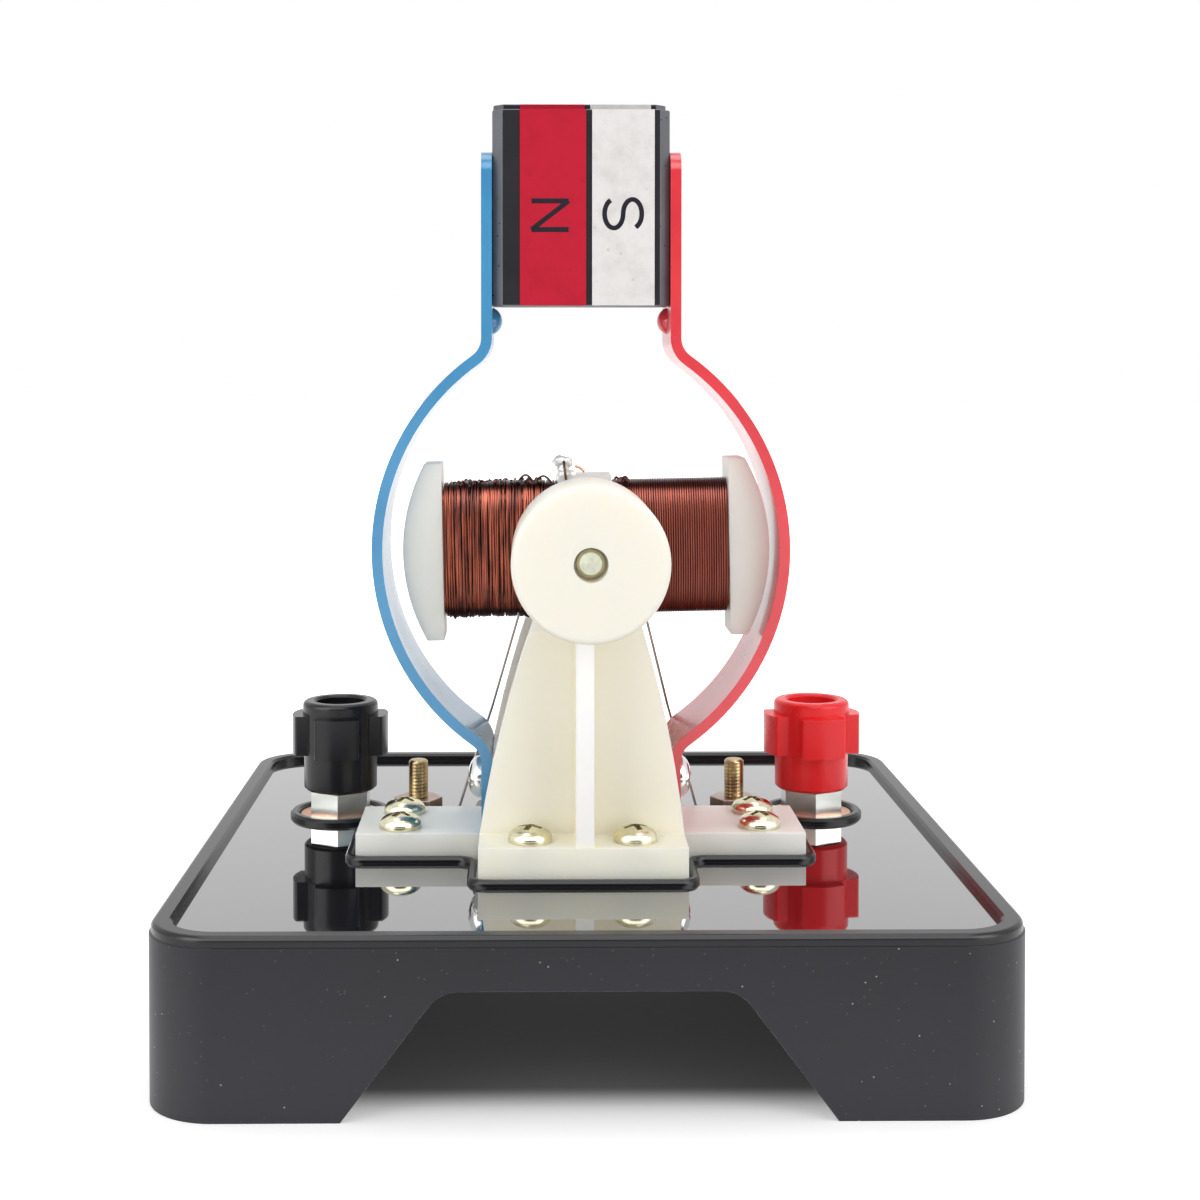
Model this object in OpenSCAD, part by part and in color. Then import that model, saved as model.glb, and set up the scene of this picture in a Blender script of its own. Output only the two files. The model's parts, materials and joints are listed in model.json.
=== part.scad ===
// Demonstration electric motor: a two-pole wound armature turns between two bent iron
// pole strips that carry the field of a block magnet down from the top. Millimetres.
// Origin: centre of the base on the table. X to the right, Y to the back, Z up.

/* [Base] */
// Width and depth of the square moulded base
base_w = 144.4; // [140:0.2:150]
// Plan radius of the base's corners
base_corner_r = 12; // [11:0.5:16]
// Height of the glossy top panel above the table
panel_z = 28.3; // [26:0.1:32]
// Thickness of the top panel
panel_t = 2.8; // [2:0.1:3.5]
// Thickness of the base's side walls
base_wall = 2.5; // [2:0.1:3]
// Height of the rim above the panel
rim_h = 1.5; // [0.8:0.1:1.6]
// Half width of the finger arch at the table
arch_foot_half = 39.8; // [34:0.1:44]
// Half width of the finger arch at its top
arch_top_half = 23.9; // [18:0.1:28]
// Height of the finger arch
arch_h = 21; // [14:0.1:22]

/* [Bearing stands] */
// How far right of the middle the shaft's axis stands
axis_x = 1.1; // [0:0.1:1.5]
// Height of the shaft's axis above the table
axis_z = 85.9; // [84:0.1:88]
// Width of a stand's foot
foot_w = 37.6; // [36:0.2:40]
// Thickness of a stand's foot
foot_t = 6.4; // [5:0.1:8]
// Diameter of the front stand's round bearing boss
boss_d = 28; // [24:0.1:30]
// Diameter of the rear stand's boss, which the front one hides
rear_boss_d = 22.8; // [20:0.1:28]
// Distance from one boss's outer face to the other's
boss_span = 75.2; // [74:0.1:78]

/* [Pole strips] */
// Thickness of the painted iron strip
strip_t = 2; // [1.6:0.1:2.4]
// Width of the strip, front to back
strip_w = 22; // [20:0.5:24]
// Radius of the bulge, at the middle of the strip's thickness
bulge_r = 43.65; // [43:0.05:46]
// How far past the middle the centre of that radius lies
bulge_past = 5.65; // [5:0.05:6]
// Height of the strips' upper ends
strip_top_z = 160.5; // [156:0.5:164]

/* [Magnet] */
// Width of a magnet block
magnet_w = 33.1; // [32.5:0.1:33.1]
// Height of a magnet block
magnet_h = 36.4; // [34:0.1:38]
// Height of the front block's lower face
magnet_z = 131.7; // [131:0.1:133]
// How much higher the rear block sits
rear_block_raise = 2.4; // [0:0.1:4]

/* [Armature] */
// Radius swept by the pole shoes
shoe_r = 34.6; // [33:0.1:35]
// Height of a pole shoe
shoe_h = 33.4; // [30:0.1:34]
// Distance from the axis to a shoe's inner face
shoe_inner = 27.1; // [26.5:0.1:27.5]
// Depth of the armature, front to back
armature_depth = 12; // [11.5:0.1:12.5]
// Diameter of the steel shaft
shaft_d = 5; // [4.8:0.1:5]
// Rest angle of the armature, right side up
rest_angle = 1.1; // [0:0.1:5]
// Number of turns in the outer layer of each coil
turns = 14; // [8:1:14]
// Diameter of the enamelled wire as drawn
wire_d = 0.9; // [0.8:0.05:0.9]

/* [Terminals] */
// Distance of a binding post from the middle
post_x = 48.5; // [48:0.1:50]
// Distance of a brush stud from the middle
brush_stud_x = 32.5; // [32:0.1:33]
// Diameter of the knob over its grips
knob_d = 19.6; // [18:0.1:20]
// Number of wide grips round the knob
knob_grips = 4; // [3:1:4]
// Width of one grip
grip_w = 9; // [7:0.5:10]

/* [Hidden] */

$fn = 48;
eps = 0.01;
over = 1;                       // how far a cutter runs past the face it cuts

// Fits
running_gap = 0.05;             // radial gap of a shaft or thread that turns in its bore
hole_gap = 0.2;                 // radial gap of a fastener in its clearance hole
thread_gap = 0.02;              // radial gap that stands for a tightened thread

// M4 fasteners
m4_r = 2;
m4_head_r = 4;
m4_head_h = 2.9;
m4_nut_af = 7;
m4_nut_h = 3.2;
screw_past_nut = 0.8;           // how far a screw's end stands past its nut
recess_w = 1.1;                 // width of a cross recess's slots
recess_l = 4.4;                 // length of a cross recess's slots
recess_depth = 1.6;

// Base
base_half = base_w / 2;
rim_w = 3.8;
rim_round = 1;
seam_z = panel_z - 0.4;         // height of the fine step round the rim
seam_step = 0.3;
panel_under_z = panel_z - panel_t;
rib_t = 1.6;
rib_h = 4;
rib_x = 22;
rib_y = 42;
rib_len = base_w - base_wall;
arch_fillet_r = 6;
bead_w = 1.5;
bead_h = 1.1;
bead_root = 0.2;                // how far a bead's section reaches into the panel
bead_gap = 0.55;                // clearance between a foot and the bead round it
bead_corner_r = 3;
post_ring_r = 9.3;
post_ring_w = 1.9;

// Middle planes
field_y = -9.2;                 // strips, magnet and armature
stand_y = -6.4;                 // half way between the two stands
front_face_y = stand_y - boss_span / 2;

// Stand, as drawn for the front one
boss_len = 23.4;
boss_round = 1.2;
bearing_tube_r = 5;
boss_wall = 2.4;
boss_core_depth = 8;
boss_web_t = 1.6;
foot_front_y = front_face_y + 7.5;
foot_back_y = foot_front_y + 15;
plate_front_y = foot_front_y + 10;
plate_t = 3;
stand_rib_t = 3.3;
stand_rib_x = 0.3;
foot_top_z = panel_z + foot_t;
side_taper = 0.13;              // narrowing of the plate per mm of height
side_curve = 0.0025;            // and its increase with height
foot_screw_x = 9.5;
foot_screw_y = foot_front_y + 5.2;
mouth_r = 3.05;                 // mouth of the bearing bore
mouth_depth = 5;
shaft_recess = 3;               // depth of the shaft's end inside the mouth

// Brackets
bracket_inner_x = 10;
bracket_outer_x = 42.1;
bracket_t = 5;
bracket_top_z = panel_z + bracket_t;
bracket_screw_x = 34;
bracket_screw_dy = 6;
upstand_t = 4;
upstand_top_z = 47.5;
pole_screw_z = 41.6;

// Pole strips, in distance from the middle plane
top_leg_x = magnet_w / 2 + 0.05 + strip_t / 2;
low_leg_x = 17.6;
bend_r = 5;
strip_centre_z = 86.1;
bulge_steps = 40;
bend_steps = 6;
dimple_r = 2.6;
dimple_proud = 1.8;
dimple_wall = 1.2;
dimple_z = magnet_z - dimple_r;
strip_corner_r = 4;

// Magnet
block_d = strip_w / 2;
label_t = 0.25;
block_chamfer = 1.9;
label_red_x = [-11.4, 0.9];
label_white_x = [2, 13.6];
label_edge = 0.3;               // bare strip above and below a label

// Armature, about its own axis
hub_half_w = 5;
hub_half_h = 14;
arm_h = 17;
arm_d = 4.4;
core_h = 12;
core_t = 2;
core_len = 68;
coil_h = 25.7;
coil_d = 11;
coil_corner_r = 3.9;
coil_bed = 0.12;                // space between the plain coil and its outer layer
seat_gap = 0.02;                // gap round a piece seated in the bobbin
collar_r = 4.5;
collar_play = 0.5;
sleeve_flange = 0.8;            // how far the sleeve's inner shoulder stands past the segments
sleeve_r = 8;
segment_r = 8.8;
segment_len = 7.2;
segment_slit = 1;

// Outer layer: one wire wound on a rounded rectangle
loop_half_z = coil_h / 2 - wire_d / 2;
loop_half_y = coil_d / 2 - wire_d / 2;
loop_corner_r = coil_corner_r - wire_d / 2;
loop_flat_z = loop_half_z - loop_corner_r;
loop_flat_y = loop_half_y - loop_corner_r;
loop_corner_len = loop_corner_r * PI / 2;
loop_len = 4 * (loop_flat_z + loop_flat_y + loop_corner_len);
wire_sides = 6;
wire_bend_r = 0.75;
wire_bend_steps = 3;
wind_start_x = hub_half_w + wire_d + wire_bend_r;
wind_end_x = shoe_inner - wire_d - wire_bend_r;
wire_pitch = (wind_end_x - wind_start_x) / turns;

// Brushes
leaf_t = 0.4;
leaf_w = 5;
leaf_foot_x = 25;
leaf_knees = [[22.4, 36], [17.3, 52.7]];  // where the leaf bends, on the way up
leaf_foot_y = 4.7;
leaf_top_y = 0.4;
leaf_touch_z = 84;
leaf_top_z = 92;
brush_gap = 0.15;               // running gap between a brush and the commutator
stud_y = 16;
stud_top_z = 39.6;
stud_low_z = 17.5;
brush_nut_af = 8.6;
stud_shank_r = 1.7;             // shank through the nuts and panel, below the free end

// Binding posts
post_y = 16.3;
post_stud_r = 4;
post_collar_af = 11.4;
post_collar_top_z = 33.5;
post_stud_top_z = 48;
post_thread_r = 2.5;
post_low_z = 16.5;
post_washer_r = 8.1;
post_washer_t = 0.5;
post_nut_af = 8;
post_nut_h = 4;
socket_r = 2;
socket_depth = 18;
wire_hole_r = 1.1;
wire_hole_z = 35.6;
bush_r = 5;
bush_low_z = 34.2;
bush_top_z = 46.5;
knob_low_z = 33.8;
knob_skirt_top_z = 41.2;
knob_grip_top_z = 49.2;
knob_top_z = 52;
knob_skirt_r = 7.45;
knob_body_r = 7.7;
knob_round_r = 1;
grip_round_r = 0.5;
knob_chamfer = 0.5;
red_knob_turn = 9;              // how far round the red knob has come to rest
link_w = 6.6;
link_eye_r = 4.1;
link_t = 0.8;

// Colours
ivory = [0.93, 0.9, 0.8];
nylon = [0.85, 0.85, 0.82];
moulded_black = [0.13, 0.13, 0.14];
yellow_zinc = [0.75, 0.68, 0.4];
bright_steel = [0.8, 0.8, 0.82];
brass = [0.78, 0.62, 0.33];
copper = [0.72, 0.42, 0.28];
enamel_copper = [0.45, 0.18, 0.13];
strip_blue = [0.25, 0.56, 0.78];
strip_red = [0.9, 0.25, 0.28];
ferrite = [0.2, 0.2, 0.21];
label_red_colour = [0.79, 0.15, 0.23];
label_white_colour = [0.89, 0.88, 0.87];
soft_iron = [0.5, 0.5, 0.52];

// ---------- helpers ----------

// Points of a round stretch, from angle a0 to a1
function arc_points(c, r, a0, a1, steps) =
    [for (i = [0:steps]) let (a = a0 + (a1 - a0) * i / steps) c + r * [cos(a), sin(a)]];

function backwards(list) = [for (i = [len(list) - 1:-1:0]) list[i]];

// A plate with rounded corners, its lower face at z = 0
module rounded_plate(size, r, h) {
    linear_extrude(h) {
        square([size.x - 2 * r, size.y], center = true);
        square([size.x, size.y - 2 * r], center = true);
        for (sx = [-1, 1], sy = [-1, 1])
            translate([sx * (size.x / 2 - r), sy * (size.y / 2 - r)]) circle(r);
    }
}

// Carries a section round a square with rounded corners. The section's x is
// counted outwards from a corner's centre.
module square_sweep(w, r) {
    straight = w - 2 * r;
    for (turn = [0:90:270]) rotate(turn) {
        translate([straight / 2, straight / 2]) rotate_extrude(angle = 90) children();
        translate([straight / 2, straight / 2]) rotate([90, 0, 0]) linear_extrude(straight) children();
    }
}

// Carries a section along a closed run of right-angled corners of radius r
module bead_run(points, r) {
    n = len(points);
    for (i = [0:n - 1]) {
        corner = points[i];
        ahead = points[(i + 1) % n];
        behind = points[(i + n - 1) % n];
        dir_in = (corner - behind) / norm(corner - behind);
        dir_out = (ahead - corner) / norm(ahead - corner);
        turns_left = dir_in.x * dir_out.y - dir_in.y * dir_out.x > 0;
        centre = corner - r * dir_in + r * dir_out;
        first = turns_left ? -dir_out : dir_in;
        translate(centre) rotate(atan2(first.y, first.x))
            rotate_extrude(angle = 90) translate([r, 0]) children();
        translate(corner + r * dir_out) rotate(atan2(dir_out.y, dir_out.x)) rotate([90, 0, 90])
            linear_extrude(norm(ahead - corner) - 2 * r) children();
    }
}

// Pan head with a cross recess, head up, its seat at z = 0
module pan_screw(length) {
    difference() {
        union() {
            rotate_extrude() polygon(concat(
                [[0, 0], [m4_head_r, 0], [m4_head_r, 0.7]],
                [for (a = [15:15:75]) [m4_head_r * cos(a), 0.7 + (m4_head_h - 0.7) * sin(a)]],
                [[m4_head_r * 0.12, m4_head_h], [0, m4_head_h]]));
            translate([0, 0, -length]) cylinder(r = m4_r, h = length + eps);
        }
        for (turn = [0, 90]) rotate(turn) translate([-recess_l / 2, -recess_w / 2, m4_head_h - recess_depth])
            cube([recess_l, recess_w, recess_depth + over]);
    }
}

module hex_nut(af, h, bore_r) {
    difference() {
        cylinder(r = af / 2 / cos(30), h = h, $fn = 6);
        translate([0, 0, -over]) cylinder(r = bore_r, h = h + 2 * over);
    }
}

// Puts its children on both sides of the middle plane, the left side mirrored
module both_sides() {
    children();
    mirror([1, 0, 0]) children();
}

// Puts its children where both stands' pieces go, drawn for the front one
module both_stands() {
    children();
    translate([0, 2 * stand_y, 0]) mirror([0, 1, 0]) children();
}

// Turns a piece drawn about the Y axis into its place on the armature
module on_armature() {
    translate([axis_x, field_y, axis_z]) rotate([0, -rest_angle, 0]) children();
}

// ---------- base ----------

// Section of the side wall and rim, x outwards from a corner's centre
module wall_section() {
    r = base_corner_r;
    rim_x = r - seam_step;
    rim_top = panel_z + rim_h;
    polygon(concat(
        [[r - base_wall, 0], [r, 0], [r, seam_z], [rim_x, seam_z + 0.15]],
        arc_points([rim_x - rim_round, rim_top - rim_round], rim_round, 0, 90, 4),
        [[r - rim_w + 0.5, rim_top], [r - rim_w, rim_top - 0.5], [r - rim_w, panel_under_z],
         [r - base_wall, panel_under_z]]));
}

// The finger arch in a wall: slanted sides and rounded upper corners
module arch_outline() {
    slope = atan2(arch_h, arch_foot_half - arch_top_half);
    tangent = arch_fillet_r * tan(slope / 2);
    right_corner = arc_points([arch_top_half - tangent, arch_h - arch_fillet_r],
                              arch_fillet_r, 90 - slope, 90, 5);
    run_out = over / tan(slope);
    right = concat([[arch_foot_half + run_out, -over]], right_corner);
    polygon(concat(right, [for (p = backwards(right)) [-p.x, p.y]]));
}

// Low bead with sloping shoulders, moulded on the panel
module bead_section(w) {
    polygon([[-w / 2, -bead_root], [w / 2, -bead_root], [w / 2, bead_h / 2],
             [w / 4, bead_h], [-w / 4, bead_h], [-w / 2, bead_h / 2]]);
}

// Bead that outlines the two feet and the two brackets, as a cross
module foot_bead() {
    out = bead_gap + bead_w / 2;
    fx = foot_w / 2 + out;
    bx = bracket_outer_x + out;
    front = foot_front_y - out;
    back = 2 * stand_y - foot_front_y + out;
    side_front = field_y - strip_w / 2 - out;
    side_back = field_y + strip_w / 2 + out;
    bead_run([[-fx, front], [fx, front], [fx, side_front], [bx, side_front], [bx, side_back],
              [fx, side_back], [fx, back], [-fx, back], [-fx, side_back], [-bx, side_back],
              [-bx, side_front], [-fx, side_front]], bead_corner_r) bead_section(bead_w);
}

module stand_screw_places() {
    both_stands() both_sides() translate([foot_screw_x, foot_screw_y, 0]) children();
}

module bracket_screw_places() {
    both_sides() for (dy = [-bracket_screw_dy, bracket_screw_dy])
        translate([bracket_screw_x, field_y + dy, 0]) children();
}

module base_shell() {
    hole_z = panel_under_z - over;
    hole_h = panel_t + 2 * over;
    color(moulded_black) difference() {
        union() {
            square_sweep(base_w, base_corner_r) wall_section();
            translate([0, 0, panel_under_z])
                rounded_plate([base_w - 2 * base_wall, base_w - 2 * base_wall],
                              base_corner_r - base_wall, panel_t);
            for (x = [-rib_x, rib_x]) translate([x - rib_t / 2, -rib_len / 2, panel_under_z - rib_h])
                cube([rib_t, rib_len, rib_h + eps]);
            for (y = [-rib_y, rib_y]) translate([-rib_len / 2, y - rib_t / 2, panel_under_z - rib_h])
                cube([rib_len, rib_t, rib_h + eps]);
            translate([0, 0, panel_z]) foot_bead();
            both_sides() translate([post_x, post_y, panel_z])
                rotate_extrude() translate([post_ring_r, 0]) bead_section(post_ring_w);
        }
        for (y = [-base_half - over, base_half - base_wall - over])
            translate([0, y + base_wall + 2 * over, 0]) rotate([90, 0, 0])
                linear_extrude(base_wall + 2 * over) arch_outline();
        stand_screw_places() translate([0, 0, hole_z]) cylinder(r = m4_r + hole_gap, h = hole_h);
        bracket_screw_places() translate([0, 0, hole_z]) cylinder(r = m4_r + hole_gap, h = hole_h);
        both_sides() {
            translate([brush_stud_x, stud_y, hole_z]) cylinder(r = m4_r + hole_gap, h = hole_h);
            translate([post_x, post_y, hole_z]) cylinder(r = post_thread_r + hole_gap, h = hole_h);
        }
    }
}

// ---------- bearing stands ----------

function stand_middle_x(z) = axis_x * (z - foot_top_z) / (axis_z - foot_top_z);

function stand_half_w(z) = foot_w / 2 - side_taper * (z - foot_top_z) - side_curve * pow(z - foot_top_z, 2);

// Upright plate, narrowing from the foot to the boss with bowed sides. Its middle line
// leans from the foot's middle to the axis.
module stand_plate() {
    steps = 8;
    heights = [for (i = [0:steps]) foot_top_z + (axis_z - foot_top_z) * i / steps];
    right = [for (z = heights) [stand_middle_x(z) + stand_half_w(z), z]];
    left = [for (z = backwards(heights)) [stand_middle_x(z) - stand_half_w(z), z]];
    root = [[-foot_w / 2, foot_top_z - 1], [foot_w / 2, foot_top_z - 1]];
    translate([0, plate_front_y + plate_t, 0]) rotate([90, 0, 0]) linear_extrude(plate_t)
        polygon(concat(root, right, left));
}

// Everything on the stand but its bores. The boss is cored out from its inner face,
// which leaves an outer wall, a bearing tube and four webs.
module stand_body(across_boss) {
    boss_r = across_boss / 2;
    tube_low = boss_len - boss_core_depth - over;
    tube_h = boss_core_depth + 3 * over;
    boss_section = concat([[0, 0]],
        arc_points([boss_r - boss_round, boss_round], boss_round, -90, 0, 4),
        [[boss_r, boss_len], [0, boss_len]]);
    translate([-foot_w / 2, foot_front_y, panel_z]) cube([foot_w, foot_back_y - foot_front_y, foot_t]);
    stand_plate();
    translate([stand_rib_x - stand_rib_t / 2, foot_front_y + 0.4, foot_top_z - 1])
        cube([stand_rib_t, plate_front_y - foot_front_y, axis_z - boss_r / 2 - foot_top_z]);
    translate([axis_x, front_face_y, axis_z]) rotate([-90, 0, 0]) difference() {
        rotate_extrude() polygon(boss_section);
        difference() {
            translate([0, 0, boss_len - boss_core_depth])
                cylinder(r = boss_r - boss_wall, h = boss_core_depth + over);
            translate([0, 0, tube_low]) cylinder(r = bearing_tube_r, h = tube_h);
            for (turn = [45, 135]) rotate(turn)
                translate([-boss_r, -boss_web_t / 2, tube_low]) cube([across_boss, boss_web_t, tube_h]);
        }
    }
}

// Drawn for the front; the rear stand is a mirror image, so that both bosses share the axis
module stand(across_boss) {
    difference() {
        stand_body(across_boss);
        translate([axis_x, front_face_y - over, axis_z]) rotate([-90, 0, 0]) {
            cylinder(r = shaft_d / 2 + running_gap, h = boss_len + 2 * over);
            cylinder(r = mouth_r, h = mouth_depth + over);
        }
        both_sides() translate([foot_screw_x, foot_screw_y, panel_z - over])
            cylinder(r = m4_r + hole_gap, h = foot_t + 2 * over);
    }
}

module front_stand() {
    color(ivory) stand(boss_d);
}

module rear_stand() {
    color(ivory) translate([0, 2 * stand_y, 0]) mirror([0, 1, 0]) stand(rear_boss_d);
}

// ---------- pole brackets and strips ----------

// Right-hand bracket: a plate screwed to the panel and an upstand behind the strip's leg
module bracket() {
    leg_inner_x = low_leg_x - strip_t / 2;
    difference() {
        union() {
            translate([bracket_inner_x, field_y - strip_w / 2, panel_z])
                cube([bracket_outer_x - bracket_inner_x, strip_w, bracket_t]);
            translate([leg_inner_x - upstand_t, field_y - strip_w / 2, bracket_top_z - eps])
                cube([upstand_t, strip_w, upstand_top_z - bracket_top_z]);
        }
        translate([leg_inner_x - upstand_t - over, field_y, pole_screw_z]) rotate([0, 90, 0])
            cylinder(r = m4_r + hole_gap, h = upstand_t + 2 * over);
        for (dy = [-bracket_screw_dy, bracket_screw_dy])
            translate([bracket_screw_x, field_y + dy, panel_z - over])
                cylinder(r = m4_r + hole_gap, h = bracket_t + 2 * over);
    }
}

module bracket_left() {
    color(nylon) mirror([1, 0, 0]) bracket();
}

module bracket_right() {
    color(nylon) bracket();
}

// One face of the strip, side = 1 for the outer and -1 for the inner, from the foot up
function strip_face(side) =
    let (centre = [-bulge_past, strip_centre_z],
         reach = bulge_r + bend_r,
         low_off = low_leg_x + bend_r + bulge_past,
         top_off = top_leg_x + bend_r + bulge_past,
         low_c = [low_leg_x + bend_r, strip_centre_z - sqrt(reach * reach - low_off * low_off)],
         top_c = [top_leg_x + bend_r, strip_centre_z + sqrt(reach * reach - top_off * top_off)],
         low_a = acos(low_off / reach),
         top_a = acos(top_off / reach),
         half = side * strip_t / 2)
    concat([[low_leg_x + half, bracket_top_z]],
           arc_points(low_c, bend_r - half, 180, 180 - low_a, bend_steps),
           arc_points(centre, bulge_r + half, -low_a, top_a, bulge_steps),
           arc_points(top_c, bend_r - half, 180 + top_a, 180, bend_steps),
           [[top_leg_x + half, strip_top_z]]);

// Right-hand strip: one bar bent outwards round the armature, with a pressed dimple
// that carries the magnet
module pole_strip() {
    dome_r = (dimple_r * dimple_r + dimple_proud * dimple_proud) / (2 * dimple_proud);
    dome_x = top_leg_x - strip_t / 2 - dimple_proud + dome_r;
    strip_mid_z = (strip_top_z + bracket_top_z) / 2;
    difference() {
        union() {
            intersection() {
                translate([0, field_y + strip_w / 2, 0]) rotate([90, 0, 0]) linear_extrude(strip_w)
                    polygon(concat(strip_face(1), backwards(strip_face(-1))));
                translate([0, field_y, strip_mid_z]) rotate([0, 90, 0])
                    rounded_plate([strip_top_z - bracket_top_z, strip_w], strip_corner_r, base_half);
            }
            intersection() {
                translate([dome_x, field_y, dimple_z]) sphere(dome_r);
                translate([0, field_y - dome_r, dimple_z - dome_r])
                    cube([top_leg_x, 2 * dome_r, 2 * dome_r]);
            }
        }
        translate([dome_x, field_y, dimple_z]) sphere(dome_r - dimple_wall);
        translate([low_leg_x - strip_t, field_y, pole_screw_z]) rotate([0, 90, 0])
            cylinder(r = m4_r + hole_gap, h = 2 * strip_t);
    }
}

module pole_strip_blue() {
    color(strip_blue) mirror([1, 0, 0]) pole_strip();
}

module pole_strip_red() {
    color(strip_red) pole_strip();
}

// ---------- magnet ----------

// Ferrite block with its four upright edges chamfered, lower face at z = 0
module magnet_block(depth) {
    x = magnet_w / 2;
    c = block_chamfer;
    linear_extrude(magnet_h) polygon([
        [-x + c, 0], [x - c, 0], [x, c], [x, depth - c],
        [x - c, depth], [-x + c, depth], [-x, depth - c], [-x, c]]);
}

module magnet_front() {
    color(ferrite) translate([0, field_y - block_d, magnet_z]) magnet_block(block_d - label_t);
}

module magnet_rear() {
    color(ferrite) translate([0, field_y, magnet_z + rear_block_raise]) magnet_block(block_d);
}

// The three labels of one colour: on the front block's face and on both of the rear block's
module block_labels(span) {
    rear_z = magnet_z + rear_block_raise;
    for (place = [[field_y - block_d - label_t, magnet_z], [field_y - label_t, rear_z],
                  [field_y + block_d, rear_z]])
        translate([span[0], place[0], place[1] + label_edge])
            cube([span[1] - span[0], label_t, magnet_h - 2 * label_edge]);
}

module label_red() {
    color(label_red_colour) block_labels(label_red_x);
}

module label_white() {
    color(label_white_colour) block_labels(label_white_x);
}

// ---------- armature ----------

// Pole shoe on the right: a slice of the swept circle with its corners taken off
module shoe_outline() {
    intersection() {
        circle(shoe_r, $fn = 120);
        translate([shoe_inner, -shoe_h / 2]) square([shoe_r - shoe_inner, shoe_h]);
    }
}

module armature_bobbin() {
    half_d = armature_depth / 2;
    color(nylon) on_armature() difference() {
        union() {
            translate([-hub_half_w, -half_d, -hub_half_h])
                cube([2 * hub_half_w, armature_depth, 2 * hub_half_h]);
            translate([-shoe_inner - eps, -arm_d / 2, -arm_h / 2])
                cube([2 * (shoe_inner + eps), arm_d, arm_h]);
            for (turn = [0, 180]) rotate([0, turn, 0]) translate([0, half_d, 0]) rotate([90, 0, 0])
                linear_extrude(armature_depth) shoe_outline();
        }
        translate([-shoe_r - over, -core_t / 2 - seat_gap, -core_h / 2 - seat_gap])
            cube([2 * (shoe_r + over), core_t + 2 * seat_gap, core_h + 2 * seat_gap]);
        translate([0, -half_d - over, 0]) rotate([-90, 0, 0])
            cylinder(r = shaft_d / 2, h = armature_depth + 2 * over);
    }
}

module armature_core() {
    color(soft_iron) on_armature() difference() {
        translate([-core_len / 2, -core_t / 2, -core_h / 2]) cube([core_len, core_t, core_h]);
        translate([0, -core_t, 0]) rotate([-90, 0, 0]) cylinder(r = shaft_d / 2 + 0.1, h = 2 * core_t);
    }
}

// The inner layers of the right-hand coil, as one rounded block round the arm
module coil_body() {
    bed = wire_d + coil_bed;
    length = shoe_inner - hub_half_w;
    difference() {
        translate([hub_half_w, 0, 0]) rotate([90, 0, 90])
            rounded_plate([coil_d - 2 * bed, coil_h - 2 * bed], coil_corner_r - bed, length);
        translate([hub_half_w - over, -arm_d / 2 - seat_gap, -arm_h / 2 - seat_gap])
            cube([length + 2 * over, arm_d + 2 * seat_gap, arm_h + 2 * seat_gap]);
    }
}

// Distances round the wire's rounded rectangle at which its straights and corners end,
// from the middle of its rear side, going up first
loop_ends = let (side = 2 * loop_flat_z, top = 2 * loop_flat_y, corner = loop_corner_len)
    [loop_flat_z, loop_flat_z + corner, loop_flat_z + corner + top, loop_flat_z + 2 * corner + top,
     loop_flat_z + 2 * corner + top + side, loop_flat_z + 3 * corner + top + side,
     loop_flat_z + 3 * corner + 2 * top + side, loop_flat_z + 4 * corner + 2 * top + side];

// Point and outward direction on that rectangle, s mm round it
function loop_point(s) =
    let (t = s % loop_len, y = loop_flat_y, z = loop_flat_z, e = loop_ends)
    t < e[0] ? [[loop_half_y, t], [1, 0]] :
    t < e[1] ? loop_corner([y, z], 0, t - e[0]) :
    t < e[2] ? [[y - (t - e[1]), loop_half_z], [0, 1]] :
    t < e[3] ? loop_corner([-y, z], 90, t - e[2]) :
    t < e[4] ? [[-loop_half_y, z - (t - e[3])], [-1, 0]] :
    t < e[5] ? loop_corner([-y, -z], 180, t - e[4]) :
    t < e[6] ? [[-y + (t - e[5]), -loop_half_z], [0, -1]] :
    t < e[7] ? loop_corner([y, -z], 270, t - e[6]) :
    [[loop_half_y, -z + (t - e[7])], [1, 0]];

function loop_corner(centre, from, s) =
    let (a = from + 90 * s / loop_corner_len)
    [centre + loop_corner_r * [cos(a), sin(a)], [cos(a), sin(a)]];

// Stations of one loop: the corners get five each and the four sides one between
loop_stations = [for (corner = [0:3], i = [0:4]) loop_ends[2 * corner] + loop_corner_len * i / 4];

// The wire's route laid flat, as distance round the coil and distance along the arm:
// square out of the hub, a quarter bend, the turns, a quarter bend back, square into the shoe
wire_flat_route =
    let (last_s = turns * loop_len)
    concat(
        [[0, hub_half_w], [0, hub_half_w + wire_d]],
        [for (i = [1:wire_bend_steps]) let (a = 90 * i / wire_bend_steps)
            [wire_bend_r * (1 - cos(a)), hub_half_w + wire_d + wire_bend_r * sin(a)]],
        [for (turn = [0:turns - 1], s = loop_stations)
            [turn * loop_len + s, wind_start_x + wire_pitch * (turn * loop_len + s) / last_s * turns]],
        [for (i = [0:wire_bend_steps]) let (a = 90 * i / wire_bend_steps)
            [last_s - wire_bend_r * (1 - sin(a)), shoe_inner - wire_d - wire_bend_r * cos(a)]],
        [[last_s, shoe_inner]]);

wire_route = [for (p = wire_flat_route) let (q = loop_point(p[0])) [p[1], q[0].x, q[0].y]];
wire_outward = [for (p = wire_flat_route) let (q = loop_point(p[0])) [0, q[1].x, q[1].y]];

function unit(v) = v / norm(v);

function wire_direction(i) = unit(wire_route[i + 1] - wire_route[i]);

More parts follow.
